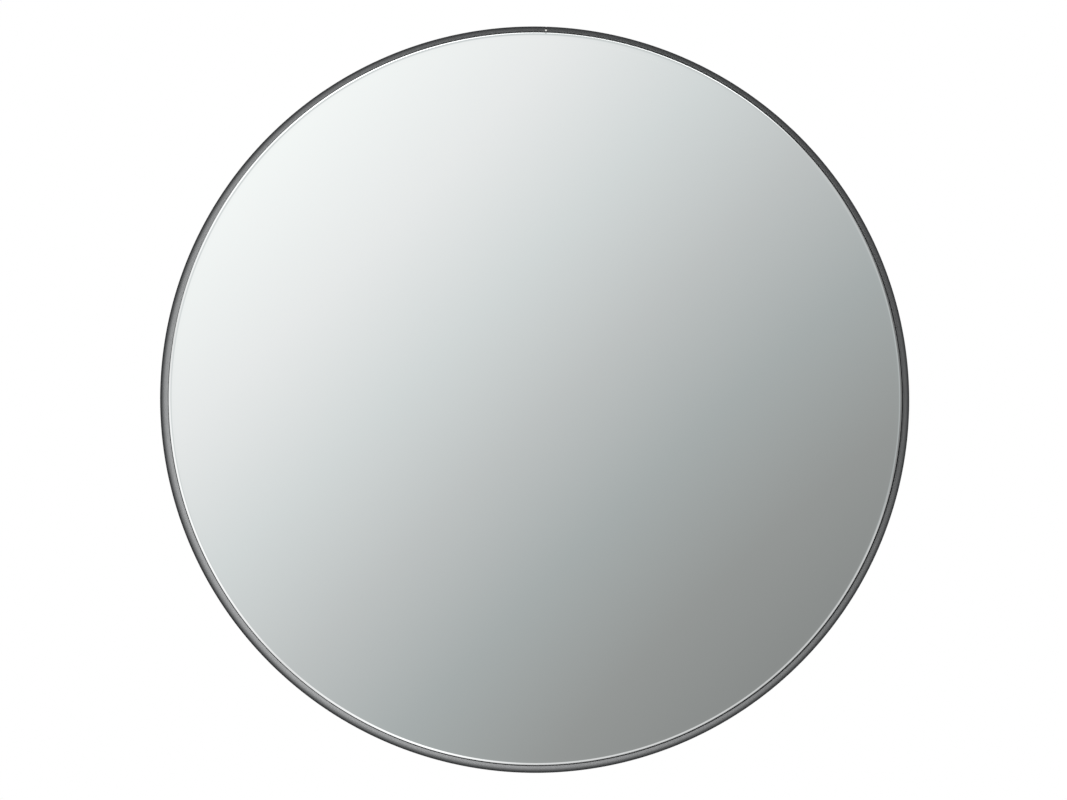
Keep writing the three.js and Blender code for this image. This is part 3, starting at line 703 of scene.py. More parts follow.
def shell_finish():
    """Fine-grained black moulding, dusty on top."""
    material, tree, shader = new_finish("black_moulding")
    grain = place_group(tree, GRAIN, Size=0.0011, Drift_size=0.09)
    scuffs = place_group(tree, SCUFFS, Size=0.05, Amount=0.6)
    edges = place_group(tree, EDGES, Amount=0.3, Size=0.006)
    dust = place_group(tree, DUST, Amount=0.3, Size=0.05)
    tone = two_tones(tree, grain["Drift"], (0.022, 0.023, 0.025), (0.036, 0.037, 0.039))
    tone = worn(tree, tone, scuffs, (0.09, 0.09, 0.09), edges, (0.09, 0.09, 0.09), dust)
    sheen = dusty(tree, spread(tree, scuffs["Rub"], 0.5, 0.38), dust, 0.35)
    connect(tree, shader, Base_Color=tone, Roughness=sheen)
    bump(tree, shader, grain["Height"], 0.00012, 0.6)
    return material


def powder_finish():
    """Dark grey powder coat with its orange peel, chipped pale on the edges."""
    material, tree, shader = new_finish("grey_powder_coat")
    peel = place_group(tree, GRAIN, Size=0.0016, Drift_size=0.03)
    scuffs = place_group(tree, SCUFFS, Size=0.018, Amount=0.7)
    edges = place_group(tree, EDGES, Amount=0.9, Size=0.0025)
    dust = place_group(tree, DUST, Amount=0.25, Size=0.012)
    tone = two_tones(tree, peel["Drift"], (0.062, 0.065, 0.069), (0.088, 0.091, 0.096))
    tone = worn(tree, tone, scuffs, (0.24, 0.24, 0.245), edges, (0.42, 0.42, 0.41), dust)
    gloss = dusty(tree, spread(tree, scuffs["Rub"], 0.36, 0.5), dust, 0.3)
    metal = maths(tree, "MULTIPLY", edges["Mask"], 0.9)
    connect(tree, shader, Base_Color=tone, Roughness=gloss, Metallic=metal)
    bump(tree, shader, peel["Height"], 0.00018, 0.5)
    return material


def zinc_finish():
    """Bright zinc plate with a faint straw and blue bloom."""
    material, tree, shader = new_finish("bright_zinc", Metallic=1.0)
    bloom = place_group(tree, GRAIN, Size=0.0007, Drift_size=0.008)
    scuffs = place_group(tree, SCUFFS, Size=0.01, Amount=0.7)
    stops = [(0.3, (0.44, 0.455, 0.485)), (0.5, (0.50, 0.505, 0.51)), (0.7, (0.54, 0.525, 0.48))]
    tone = blend(tree, scuffs["Rub"], ramp(tree, bloom["Drift"], stops), (0.36, 0.36, 0.36))
    scored = maths(tree, "MULTIPLY", scuffs["Scratch"], 0.2)
    rough = maths(tree, "ADD", spread(tree, bloom["Drift"], 0.18, 0.34), scored)
    connect(tree, shader, Base_Color=tone, Roughness=rough)
    bump(tree, shader, bloom["Height"], 0.00003, 0.5)
    return material


def tube_finish():
    """Plated sliding tube, scored lengthwise where it runs in its bush."""
    material, tree, shader = new_finish("plated_tube", Metallic=1.0)
    stretch = {"Vector": object_place(tree), "Scale": (1.0, 0.02, 1.0)}
    score = noise(tree, add(tree, "ShaderNodeMapping", stretch).outputs[0], 2600.0, 3.0, 0.7)
    bloom = place_group(tree, GRAIN, Size=0.0009, Drift_size=0.015)
    tone = two_tones(tree, bloom["Drift"], (0.66, 0.67, 0.68), (0.76, 0.76, 0.755))
    marks = ramp(tree, score, [(0.6, 0.0), (0.74, 0.6)])
    tone = blend(tree, marks, tone, (0.42, 0.42, 0.42))
    connect(tree, shader, Base_Color=tone, Roughness=spread(tree, score, 0.1, 0.3))
    bump(tree, shader, score, 0.00001, 0.4)
    return material


def knob_finish():
    """Black glass-filled moulding, polished by hands on its lobes."""
    material, tree, shader = new_finish("black_knob_moulding")
    grain = place_group(tree, GRAIN, Size=0.0005, Drift_size=0.006)
    scuffs = place_group(tree, SCUFFS, Size=0.012, Amount=0.6)
    edges = place_group(tree, EDGES, Amount=0.5, Size=0.003)
    dust = place_group(tree, DUST, Amount=0.22, Size=0.008)
    tone = two_tones(tree, grain["Drift"], (0.014, 0.014, 0.015), (0.024, 0.024, 0.026))
    tone = worn(tree, tone, scuffs, (0.07, 0.07, 0.07), edges, (0.06, 0.06, 0.06), dust)
    polish = spread(tree, maths(tree, "ADD", edges["Mask"], scuffs["Rub"]), 0.5, 0.28)
    connect(tree, shader, Base_Color=tone, Roughness=polish)
    bump(tree, shader, grain["Height"], 0.00005, 0.6)
    return material


def nylon_finish():
    """Natural nylon, slightly translucent, with grey rubbed patches."""
    material, tree, shader = new_finish("natural_nylon", Subsurface_Weight=0.25, Subsurface_Scale=0.002)
    grain = place_group(tree, GRAIN, Size=0.0009, Drift_size=0.008)
    scuffs = place_group(tree, SCUFFS, Size=0.01, Amount=0.6)
    tone = two_tones(tree, grain["Drift"], (0.66, 0.63, 0.56), (0.76, 0.74, 0.68))
    tone = blend(tree, scuffs["Rub"], tone, (0.44, 0.43, 0.41))
    connect(tree, shader, Base_Color=tone, Roughness=spread(tree, scuffs["Rub"], 0.48, 0.32))
    bump(tree, shader, grain["Height"], 0.00004, 0.5)
    return material


def foam_finish():
    """Closed-cell foam strip."""
    material, tree, shader = new_finish("seal_foam")
    cells = place_group(tree, GRAIN, Size=0.0007, Drift_size=0.02)
    pores = ramp(tree, cells["Height"], [(0.35, (0.008, 0.008, 0.008)), (0.6, (0.03, 0.03, 0.031))])
    connect(tree, shader, Base_Color=pores, Roughness=spread(tree, cells["Height"], 0.8, 0.95))
    bump(tree, shader, cells["Height"], 0.0002, 0.8)
    return material


# Each finish, and the slot that its pieces' material goes in.
SILVERED = mirror_finish(), "mirror_face"
RIM_GREY = rim_finish(), "rim_metal"
MOULDING = shell_finish(), "shell_plastic"
POWDER = powder_finish(), "arm_paint"
ZINC = zinc_finish(), "zinc_steel"
PLATED = tube_finish(), "tube_steel"
KNOB_BLACK = knob_finish(), "knob_plastic"
NYLON = nylon_finish(), "bearing_nylon"
FOAM = foam_finish(), None


# --- Head ---


def rim_face(angle):
    """Width of the rim's visible face at an angle round the mirror."""
    slack = RIM_SLACK * cos(2 * angle)
    return RIM_FACE - LENS_SHIFT * cos(angle) - LENS_RISE * sin(angle) + slack


def rim_opening(angle):
    """Radius of the rim's opening at an angle round the mirror."""
    return rim_radius - rim_face(angle)


def make_lens():
    """The domed lens: dome, nearly flat foot ring, steeper edge, step and flange."""
    flange_back, apex = reaches("mirror_lens")
    flange_front = flange_back + LENS_THICKNESS
    centre = apex - CURVATURE_RADIUS

    def dome(sphere, edge, steps):
        radii = [edge * k / steps for k in range(steps + 1)]
        return [(r, centre + sqrt(sphere ** 2 - r ** 2), 0) for r in radii]

    def section(angle):
        step_radius = rim_opening(angle) - LIP_GAP - LIP_GAP_SWING * cos(angle + pi / 4)
        edge_radius = step_radius - EDGE_WIDTH * (1 - EDGE_WIDTH_SWING * sin(angle))
        dome_radius = edge_radius - FOOT_RING * (1 + FOOT_RING_SWING * sin(angle))
        points = dome(CURVATURE_RADIUS, dome_radius, 72)
        points[-1] = (*points[-1][:2], FOOT_BLEND)
        ring_fall = (edge_radius - dome_radius) * tan(FOOT_RING_SLOPE * (1 - sin(angle)))
        edge_front = points[-1][1] - ring_fall
        slope = EDGE_SLOPE - EDGE_SLOPE_SWING * sin(angle)
        first, last = slope - EDGE_CROWN, slope + EDGE_CROWN
        bend = (step_radius - edge_radius) / (sin(last) - sin(first))
        hinge = (edge_radius - bend * sin(first), edge_front - bend * cos(first))
        edge = arc(hinge, bend, pi / 2 - first, pi / 2 - last, 10)
        points.append((*edge[0][:2], EDGE_BLEND))
        points += edge[1:]
        back_edge = step_radius - LENS_THICKNESS
        points.append((step_radius, flange_front, 0.0003))
        points += [(seat_radius, flange_front), (seat_radius, flange_back), (back_edge, flange_back)]
        points += reversed(dome(CURVATURE_RADIUS - LENS_THICKNESS, back_edge, 32)[:-1])
        return rounded(points, 0.0002)

    return fit(turned("lens", section, sides=384), "head", SILVERED, "mirror_lens", smooth_angle=60)


def make_rim():
    """The rolled channel, swept from one side of its joint round to the other. Its face has a
    tight outer corner and turns steadily inward from there."""
    lip_back = rim_front - RIM_BEAD_HEIGHT - RIM_LIP_FOOT
    channel = rim_radius - RIM_WALL
    inside = rim_radius - RIM_BACK_LIP

    def section(angle):
        opening = rim_opening(angle)
        crown = rim_radius - RIM_EDGE
        turn = (crown - opening) / sin(RIM_FALL)
        face = arc((crown, rim_front - turn), turn, pi / 2, pi / 2 + RIM_FALL, 16)
        face[-1] = (*face[-1][:2], 0.0003)
        return rounded([
            *arc((crown, rim_front - RIM_EDGE), RIM_EDGE, 0, pi / 2, 8)[:-1],
            *face,
            (opening, lip_back, 0.0003),
            (channel, lip_back),
            (channel, rim_back + RIM_WALL),
            (inside, rim_back + RIM_WALL, 0.0005),
            (inside, rim_back, 0.0005),
            (rim_radius, rim_back, RIM_CORNER),
        ], 0.0004)

    half_gap = asin(RIM_JOINT_GAP / 2 / rim_radius)
    sweep = (RIM_JOINT_ANGLE + half_gap, RIM_JOINT_ANGLE - half_gap + 2 * pi)
    return fit(turned("rim", section, sides=540, sweep=sweep), "head", RIM_GREY, "rim_channel")


def make_rim_tongue():
    """The splice's tab, which fills the outer part of the rim's joint."""
    inside = rim_radius - RIM_WALL + SEAT_GAP / 3
    outside = rim_radius - SEAT_GAP / 2
    front = rim_front - RIM_WALL / 2
    half_width = asin(RIM_JOINT_GAP / 2.2 / rim_radius)
    sweep = (RIM_JOINT_ANGLE - half_width, RIM_JOINT_ANGLE + half_width)
    section = ring_section(inside, outside, rim_back, front, 0.0002)
    return fit(turned("rim_joint_tab", section, sides=6, sweep=sweep), "head", RIM_GREY)


def make_rim_solder():
    """A bright bead of solder bridges the joint at the face's inner edge."""
    opening = rim_opening(RIM_JOINT_ANGLE)
    back = rim_front - RIM_BEAD_HEIGHT
    top = rim_front - RIM_EDGE / 2
    section = rounded([
        (opening, back),
        (opening + SOLDER_LENGTH, back),
        (opening + SOLDER_LENGTH, top - SOLDER_LENGTH * tan(SOLDER_TILT)),
        (opening, top),
    ], 0.0002)
    half_width = SOLDER_WIDTH / 2 / rim_radius
    sweep = (RIM_JOINT_ANGLE - half_width, RIM_JOINT_ANGLE + half_width)
    return fit(turned("rim_joint_solder", section, sides=8, sweep=sweep), "head", ZINC)


def make_rim_splice():
    """The strip inside the channel that bridges its joint, and the two rivets that hold it."""
    back, front = reaches("rim_splice")
    inside = rim_radius - RIM_BACK_LIP + RIM_CORNER
    outside = rim_radius - RIM_CORNER
    section = ring_section(inside, outside, back, front, 0.0003)
    sweep = (RIM_JOINT_ANGLE - SPLICE_SPREAD, RIM_JOINT_ANGLE + SPLICE_SPREAD)
    fit(turned("rim_splice_strip", section, sides=24, sweep=sweep), "head", RIM_GREY, "rim_splice")
    for node in ("rim_rivet_1", "rim_rivet_2"):
        low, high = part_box(node)
        radius = (high.x - low.x) / 2
        head_back, shank_front = reaches(node)
        head_front = head_back + RIVET_RISE
        section = [(0.0, head_back)]
        section += arc((0, head_front), radius, -pi / 2, 0, 8, RIVET_RISE)[1:]
        section += [(radius / 2, head_front), (radius / 2, shank_front), (0.0, shank_front)]
        fit(turned(node + "_head", section, on_wall(middle(node)), sides=32), "head", ZINC, node)


def make_shell():
    """The dished back, stiffened by shallow ribs that run out from the hub."""
    back, flange_front = reaches("back_shell")
    flange_back = flange_front - SHELL_WALL
    depth = flange_back - back
    foot = rim_radius - RIM_BACK_LIP - RUN_GAP
    across = foot - SHELL_FLAT_RADIUS
    hole = STUD_RADIUS + RUN_GAP
    step_radius = SHELL_FLAT_RADIUS - SHELL_STEP_INSET
    outer = arc((SHELL_FLAT_RADIUS, flange_back), across, 0, -pi / 2, 60, depth)
    inner = arc((SHELL_FLAT_RADIUS, flange_front), across - SHELL_WALL, -pi / 2, 0, 40, depth)
    section = rounded([
        (seat_radius, flange_front),
        (seat_radius, flange_back),
        *outer,
        (step_radius + SHELL_STEP_SLANT, back, 0.0008),
        (step_radius, back + SHELL_STEP, 0.0008),
        (hole, back + SHELL_STEP),
        (hole, back + SHELL_WALL),
        *inner,
    ], 0.0004)
    first, last = SHELL_FLAT_RADIUS + SHELL_RIB_INSET, foot - SHELL_RIB_INSET
    rise, sink = SHELL_RIB_FADES

    def ribbed(radius, along, angle):
        """Raises the ribs on the outer skin, from outside the hub to short of the flange."""
        skin = hypot((radius - SHELL_FLAT_RADIUS) / across, (along - flange_back) / depth)
        if skin <= 0.985 or along >= flange_back - 0.0004 or not first < radius < last:
            return radius, along
        fade = min(1.0, (radius - first) / rise, (last - radius) / sink)
        crest = abs(cos(SHELL_RIBS * angle / 2 + SHELL_RIBS * pi / 4)) ** SHELL_RIB_SHARPNESS
        return radius, along - SHELL_RIB_HEIGHT * crest * (fade * fade * (3 - 2 * fade))

    return fit(turned("shell", section, sides=720, shape=ribbed), "head", MOULDING, "back_shell")


def hexagon(flats, low, high):
    """A shape function that trims a turned bar to a hexagon between two heights."""
    def trim(radius, along, angle):
        if not low - 1e-6 <= along <= high + 1e-6:
            return radius, along
        turn = (angle + pi / 6) % (pi / 3) - pi / 6
        return min(radius, flats / 2 / cos(turn)), along
    return trim


def hex_section(flats, low, high, shank, end):
    """A chamfered hexagon head between low and high, and its shank to end."""
    corner = flats / 2 / cos(pi / 6)
    face = HEX_FACE * flats
    chamfer = HEX_CHAMFER * (corner - face)
    return [
        (0.0, low), (face, low), (corner, low + chamfer), (corner, high),
        (shank, high), (shank, end), (0.0, end),
    ]


def make_hub():
    """The pressed plate behind the shell, and its four bolts."""
    back, front = reaches("hub_plate")
    radius = outer_radius("hub_plate")
    band_back = back + HUB_RISE
    hole = STUD_RADIUS + RUN_GAP
    section = rounded([
        (hole, back), (radius - HUB_BAND - HUB_SLANT, back, 0.002), (radius - HUB_BAND, band_back, 0.002),
        (radius, band_back, 0.0006), (radius, front, 0.0006), (hole, front),
    ], 0.0003)
    fit(turned("hub_disc", section, sides=192), "head", ZINC, "hub_plate")
    for k in range(1, 5):
        node = f"hub_bolt_{k}"
        head_back, end = reaches(node)
        head_front = head_back + HUB_BOLT_HEAD
        section = hex_section(HUB_HEX_FLATS, head_back, head_front, HUB_BOLT_RADIUS, end)
        trim = hexagon(HUB_HEX_FLATS, head_back, head_front)
        bolt = turned(node + "_hex", section, on_wall(middle(node)), sides=96, shape=trim)
        fit(bolt, "head", ZINC, node, smooth_angle=20)


# --- Ball joint ---


def make_stud():
    """The ball, its neck, its flange and its threaded end."""
    end = reaches("ball_stud")[1]
    flange_back = ball_reach + bowl_radius + STUD_NECK_LENGTH
    flange_front = flange_back + STUD_FLANGE_THICKNESS
    neck_angle = asin(NECK_RADIUS / BALL_RADIUS)
    section = meridian(ball_reach, BALL_RADIUS, pi, neck_angle, 48)
    section[-1] = (*section[-1][:2], 0.002)
    section += [
        (NECK_RADIUS, flange_back, 0.003), (STUD_FLANGE_RADIUS, flange_back, 0.0008),
        (STUD_FLANGE_RADIUS, flange_front, 0.0008), (STUD_RADIUS, flange_front), (STUD_RADIUS, end, 0.0008),
        (0.0, end),
    ]
    return fit(turned("ball_and_neck", rounded(section, 0.0003), sides=128), "stud", ZINC, "ball_stud")


def make_liner():
    """The two halves of the bearing, one in front of the ball's middle and one behind."""
    steps = 16
    for name, start, end in (
        ("liner_ring", liner_mouth, pi / 2 - LINER_SPLIT),
        ("liner_cup", pi / 2 + LINER_SPLIT, LINER_REAR),
    ):
        section = meridian(ball_reach, liner_outside, start, end, steps)
        section += meridian(ball_reach, liner_inside, end, start, steps)
        for corner in (0, steps, steps + 1, 2 * steps + 1):
            section[corner] = (*section[corner][:2], 0.0004)
        fit(turned(name + "_half", rounded(section, 0.0004), sides=128), "liner", NYLON, name)


def make_socket():
    """The socket's bowl, threaded barrel, tapered back and spigot."""
    shoulder = ball_reach - bowl_radius - SOCKET_BACK
    spigot = INNER_TUBE_RADIUS - INNER_TUBE_WALL - SEAT_GAP
    back = ball_reach - SOCKET_BARREL
    section = meridian(ball_reach, bowl_radius, pi, pi / 2, 32)
    section += [
        (barrel_radius, ball_reach, 0.0008),
        (barrel_radius, back, 0.0025),
        (INNER_TUBE_RADIUS, shoulder, 0.0012),
        (spigot, shoulder),
        (spigot, shoulder - SOCKET_SPIGOT, 0.0008),
        (0.0, shoulder - SOCKET_SPIGOT),
    ]
    socket = turned("socket", rounded(section, 0.0004, 6), sides=128)
    return fit(socket, "extension", POWDER, "socket_body")


def make_lock_ring():
    """The gripped ring that threads onto the socket."""
    back = reaches("lock_ring")[0]
    bore = barrel_radius + RUN_GAP
    outside = bore + RING_WALL
    peak = outside + RING_GRIP_HEIGHT
    seat = ball_reach + SEAT_GAP
    mouth_front = ball_reach + bowl_radius * cos(ring_mouth) + RING_FRONT_EDGE
    mouth_radius = bowl_radius * sin(ring_mouth) + RING_FRONT_EDGE
    section = [
        (bore, back), (peak, back, 0.0012), (peak, seat, 0.0012), (outside, seat + RING_STEP, 0.0008),
        (outside - RING_WALL, mouth_front, 0.0016), (mouth_radius, mouth_front, 0.0006),
    ]
    section += meridian(ball_reach, bowl_radius, ring_mouth, acos(SEAT_GAP / bowl_radius), 12)
    section += [(bore, seat)]
    grip_length = seat - back

    def gripped(radius, along, angle):
        """Sinks the hollows between the grips, less so at the ring's ends."""
        depth = max(0.0, min(1.0, (radius - outside) / RING_GRIP_HEIGHT))
        wave = (0.5 - 0.5 * cos(RING_GRIPS * angle)) ** 0.7
        from_end = min(along - back, seat - along) + RING_GRIP_ENDS
        full = max(0.0, min(1.0, from_end / RING_GRIP_FADE))
        return radius - RING_GRIP_HEIGHT * wave * depth * (0.25 + 0.75 * full), along

    steps = [(peak, back + grip_length * k / 8, 0) for k in range(1, 8)]
    section[2:2] = steps
    ring = turned("lock_ring_grip", rounded(section, 0.0004), sides=432, shape=gripped)
    return fit(ring, "lock_ring", KNOB_BLACK, "lock_ring")


# --- Arm ---


def make_tubes():
    """The outer tube, the tube that slides in it, and the bush in the outer tube's mouth."""
    outside = outer_radius("outer_tube")
    section = ring_section(outside - OUTER_TUBE_WALL, outside, *reaches("outer_tube"), 0.0005)
    fit(turned("outer_arm_tube", section, sides=128), "arm", POWDER, "outer_tube")
    bore = INNER_TUBE_RADIUS - INNER_TUBE_WALL
    section = ring_section(bore, INNER_TUBE_RADIUS, *reaches("inner_tube"), 0.0004)
    fit(turned("sliding_tube", section, sides=128), "extension", PLATED, "inner_tube")
    back, front = reaches("tube_bush")
    flange_back = front - BUSH_FLANGE
    bore = INNER_TUBE_RADIUS + SEAT_GAP
    sleeve = outside - OUTER_TUBE_WALL - SEAT_GAP
    section = rounded([
        (bore, back), (sleeve, back), (sleeve, flange_back), (outside, flange_back),
        (outside, front, 0.0009), (bore, front, 0.0007),
    ], 0.0003)
    fit(turned("mouth_bush", section, sides=128), "arm", KNOB_BLACK, "tube_bush")


def make_pins():
    """The cross pins that hold the knuckle and the socket in their tubes."""
    for node, body, name in (
        ("knuckle_pin", "arm", "knuckle_cross_pin"), ("socket_pin", "extension", "socket_cross_pin"),
    ):
        low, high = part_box(node)
        centre = Vector((0, middle(node).y, 0))
        radius = (high.z - low.z) / 2
        pin = cylinder(name, radius, low.x, high.x, centre, "right", 0.0006)
        fit(pin, body, ZINC, node)


def make_collar():
    """The cast clamp collar with its boss, bored for the tube and the screw."""
    back, front = reaches("clamp_collar")
    boss_foot = -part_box("clamp_collar")[0].z
    bore = outer_radius("outer_tube") + SEAT_GAP
    screw = Vector((0, middle("clamp_knob").y, 0))
    band = cylinder("cast_collar", outer_radius("clamp_collar"), back, front, WALL_CENTRE, "front", 0.0012)
    boss = cylinder("boss", CLAMP_BOSS_RADIUS, 0, boss_foot, screw, "down", 0.001)
    collar = cast([band, boss], CAST_GRAIN, 5)
    ends = (back - CUTTER_MARGIN, front + CUTTER_MARGIN)
    tube_bore = cylinder("tube_bore", bore, *ends, WALL_CENTRE, "front")
    bore = CLAMP_SCREW_RADIUS + RUN_GAP
    screw_bore = cylinder("screw_bore", bore, 0, boss_foot + CUTTER_MARGIN, screw, "down")
    cut(collar, [tube_bore, screw_bore])
    return fit(collar, "arm", POWDER, "clamp_collar")


def knob_section(foot, end):
    """Neck, grip, cap and the groove round the cap's middle, from the foot to the end."""
    grip = foot + KNOB_NECK_HEIGHT
    top = end - KNOB_SLANT
    inner, outer = KNOB_GROOVE
    floor = end - KNOB_GROOVE_DEPTH
    return [
        (KNOB_NECK_RADIUS, foot, 0.0006),
        (KNOB_NECK_RADIUS, grip, 0.0012),
        (KNOB_RADIUS, grip + KNOB_SLANT, 0.0022),
        (KNOB_RADIUS, (grip + top) / 2, 0),
        (KNOB_RADIUS, top, 0.0028),
        (outer + KNOB_GROOVE_SLANT, end - KNOB_CAP_FALL[0], 0.0008),
        (outer, floor, 0.0004),
        (inner, floor, 0.0004),
        (inner - KNOB_GROOVE_SLANT, end - KNOB_CAP_FALL[1], 0.0006),
        (0.0, end),
    ]


def fluted(radius, along, angle):
    """Scoops finger flutes into a knob's grip."""
    depth = max(0.0, min(1.0, (radius - KNOB_CORE_RADIUS) / (KNOB_RADIUS - KNOB_CORE_RADIUS)))
    wave = (0.5 - 0.5 * cos(KNOB_LOBES * angle)) ** 0.8
    return radius - KNOB_LOBE_HEIGHT * wave * depth, along


def make_clamp_knob():
    """The knob below the arm that clamps the sliding tube, with its screw."""
    low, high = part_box("clamp_knob")
    centre = Vector((0, middle("clamp_knob").y, 0))
    end, tip = -low.z, -high.z
    foot = end - KNOB_NECK_HEIGHT - KNOB_HEIGHT
    section = [(0.0, tip), (CLAMP_SCREW_RADIUS, tip, 0.0006), (CLAMP_SCREW_RADIUS, foot)]
    section += knob_section(foot, end)
    knob = turned("clamp_hand_knob", rounded(section, 0.0004), centre, "down", sides=288, shape=fluted)
    return fit(knob, "clamp_knob", KNOB_BLACK, "clamp_knob")


# --- Wall side ---


def make_pivot_knob():
    """The knob below the wall pivot, with a blind bore for its bolt."""
    low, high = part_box("pivot_knob")
    end, foot = -low.z, -high.z
    bore = PIVOT_BOLT_RADIUS + RUN_GAP
    blind = foot + KNOB_BORE_DEPTH
    section = [(0.0, blind), (bore, blind), (bore, foot)] + knob_section(foot, end)
    knob = turned("pivot_hand_knob", rounded(section, 0.0003), pivot, "down", sides=288, shape=fluted)
    return fit(knob, "pivot_knob", KNOB_BLACK, "pivot_knob")


def make_pivot_hardware():
    """The pivot's bolt and its four washers."""
    low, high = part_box("pivot_bolt")
    head_end = -high.z + PIVOT_BOLT_HEAD
    section = hex_section(PIVOT_HEX_FLATS, -high.z, head_end, PIVOT_BOLT_RADIUS, -low.z)
    trim = hexagon(PIVOT_HEX_FLATS, -high.z, head_end)
    bolt = turned("pivot_hex_bolt", section, pivot, "down", sides=96, shape=trim)
    fit(bolt, "wall", ZINC, "pivot_bolt", smooth_angle=20)
    bore = PIVOT_BOLT_RADIUS + RUN_GAP
    for kind, finish in (("pivot_washer", ZINC), ("friction_washer", NYLON)):
        for end in ("top", "bottom"):
            node = f"{kind}_{end}"
            low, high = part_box(node)
            radius = (high.x - low.x) / 2
            section = ring_section(bore, radius, low.z, high.z, 0.0003)
            fit(turned(node + "_disc", section, pivot, "up", sides=96), "wall", finish, node)


def bolt_bore(half_length):
    """A tool that bores a piece for the pivot's bolt."""
    return cylinder("bolt_bore", PIVOT_BOLT_RADIUS + RUN_GAP, -half_length, half_length, pivot, "up")


def make_knuckle():
    """The cast eye at the arm's end: eye, shank and plug."""
    front = reaches("arm_knuckle")[1]
    plug_back = -pivot.y + EAR_RADIUS + RUN_GAP
    shank_end = SHANK_GAP - reaches("outer_tube")[0]
    half = KNUCKLE_HEIGHT / 2
    eye = cylinder("cast_knuckle", KNUCKLE_RADIUS, -half, half, pivot, "up", 0.001)
    width = KNUCKLE_RADIUS - SHANK_INSET
    outline = [(-width, pivot.y), (width, pivot.y), (width, shank_end), (-width, shank_end)]
    shank = bevelled(milled("shank", outline, -half, half), 0.001)
    plug = cylinder("plug", outer_radius("arm_knuckle"), plug_back, front, WALL_CENTRE, "front", 0.0008)
    knuckle = cast([eye, shank, plug], CAST_GRAIN, 4)
    cut(knuckle, [bolt_bore(KNUCKLE_BORE)])
    return fit(knuckle, "arm", POWDER, "arm_knuckle")


def weld(name, side, height, reach):
    """A rippled fillet weld along x, where an ear meets the plate."""
    half_length = EAR_RADIUS - 0.001
    steps, around = 140, 14
    vertices = []
    for k in range(steps + 1):
        t = k / steps
        x = -half_length + 2 * half_length * t
        taper = min(1.0, 12 * t + 0.35, 12 * (1 - t) + 0.35)
        ripple = 1 - WELD_RIPPLE + WELD_RIPPLE * abs(sin(pi * WELD_RIPPLES * t))
        radius = WELD_RADIUS * taper * ripple * WELD_SQUASH
        for n in range(around):
            angle = 2 * pi * n / around
            y, z = -reach - radius * cos(angle), height + side * radius * sin(angle)
            vertices.append(Vector((x, y, z)))
    faces = [list(range(around)), list(range(steps * around, (steps + 1) * around))]
    for k in range(steps):
        for n in range(around):
            low, high = k * around + n, k * around + (n + 1) % around
            faces.append([low, high, high + around, low + around])
    return object_of(name, vertices, faces)


def make_wall_bracket():
    """The round plate with countersunk holes, its two ears and their welds."""
    plate_radius = outer_radius("wall_bracket")
    rings = [plate_radius * k / 24 for k in range(23)]
    section = [(r, 0.0, 0) for r in rings]
    section += [(plate_radius, 0.0, 0.0006), (plate_radius, WALL_PLATE_THICKNESS, 0.0016)]
    section += [(r, WALL_PLATE_THICKNESS, 0) for r in reversed(rings)]
    plate = turned("wall_bracket_plate", rounded(section, 0.001), sides=192)
    sink = WALL_PLATE_THICKNESS - WALL_SINK_DEPTH
    drill = [
        (0.0, -0.002), (WALL_HOLE_RADIUS, -0.002), (WALL_HOLE_RADIUS, sink),
        (WALL_SINK_RADIUS, WALL_PLATE_THICKNESS), (WALL_SINK_RADIUS, 2 * WALL_PLATE_THICKNESS),
        (0.0, 2 * WALL_PLATE_THICKNESS),
    ]
    drills = []
    for k in range(WALL_HOLES):
        angle = 2 * pi * (k + 0.5) / WALL_HOLES
        hole = Vector((WALL_HOLE_CIRCLE * cos(angle), 0, WALL_HOLE_CIRCLE * sin(angle)))
        drills.append(turned("drill", drill, hole, sides=64))
    cut(plate, drills)
    fit(plate, "wall", POWDER, "wall_bracket", smooth_angle=30)
    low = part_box("friction_washer_top")[1].z + SEAT_GAP
    ear_foot = 0.001 - WALL_PLATE_THICKNESS
    outline = [(EAR_RADIUS, ear_foot), (-EAR_RADIUS, ear_foot)]
    outline += [(x, y) for x, y, _ in arc((0, pivot.y), EAR_RADIUS, pi, 2 * pi, 40)]
    for name, side in (("upper", 1), ("lower", -1)):
        foot, top = sorted((side * low, side * (low + EAR_THICKNESS)))
        ear = milled(f"bracket_ear_{name}", outline, foot, top)
        cut(ear, [bolt_bore(EAR_BORE)])
        bevelled(ear, 0.0007)
        fit(ear, "wall", POWDER, smooth_angle=30)
        for place, height, facing in (("outer", low + EAR_THICKNESS, 1), ("inner", low, -1)):
            bead = weld(f"bracket_weld_{name}_{place}", side * facing, side * height, WALL_PLATE_THICKNESS)
            fit(bead, "wall", POWDER)


def finish_hidden_nodes():
    """Nodes that keep their own shape get their finish."""
    for (material, _), nodes in (
        (FOAM, ["edge_seal"]),
        (ZINC, ["backing_plate", "stud_washer", "stud_nut"] + [f"hub_nut_{k}" for k in range(1, 5)]),
        (NYLON, ["clamp_pad", "tube_glide"]),
    ):
        for node in nodes:
            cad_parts[node].material_slots[0].material = material


# --- Room ---


def linear(level):
    """A screen grey level, 0 to 255, as a linear value."""
    share = level / 255
    return ((share + 0.055) / 1.055) ** 2.4 if share > 0.04045 else share / 12.92


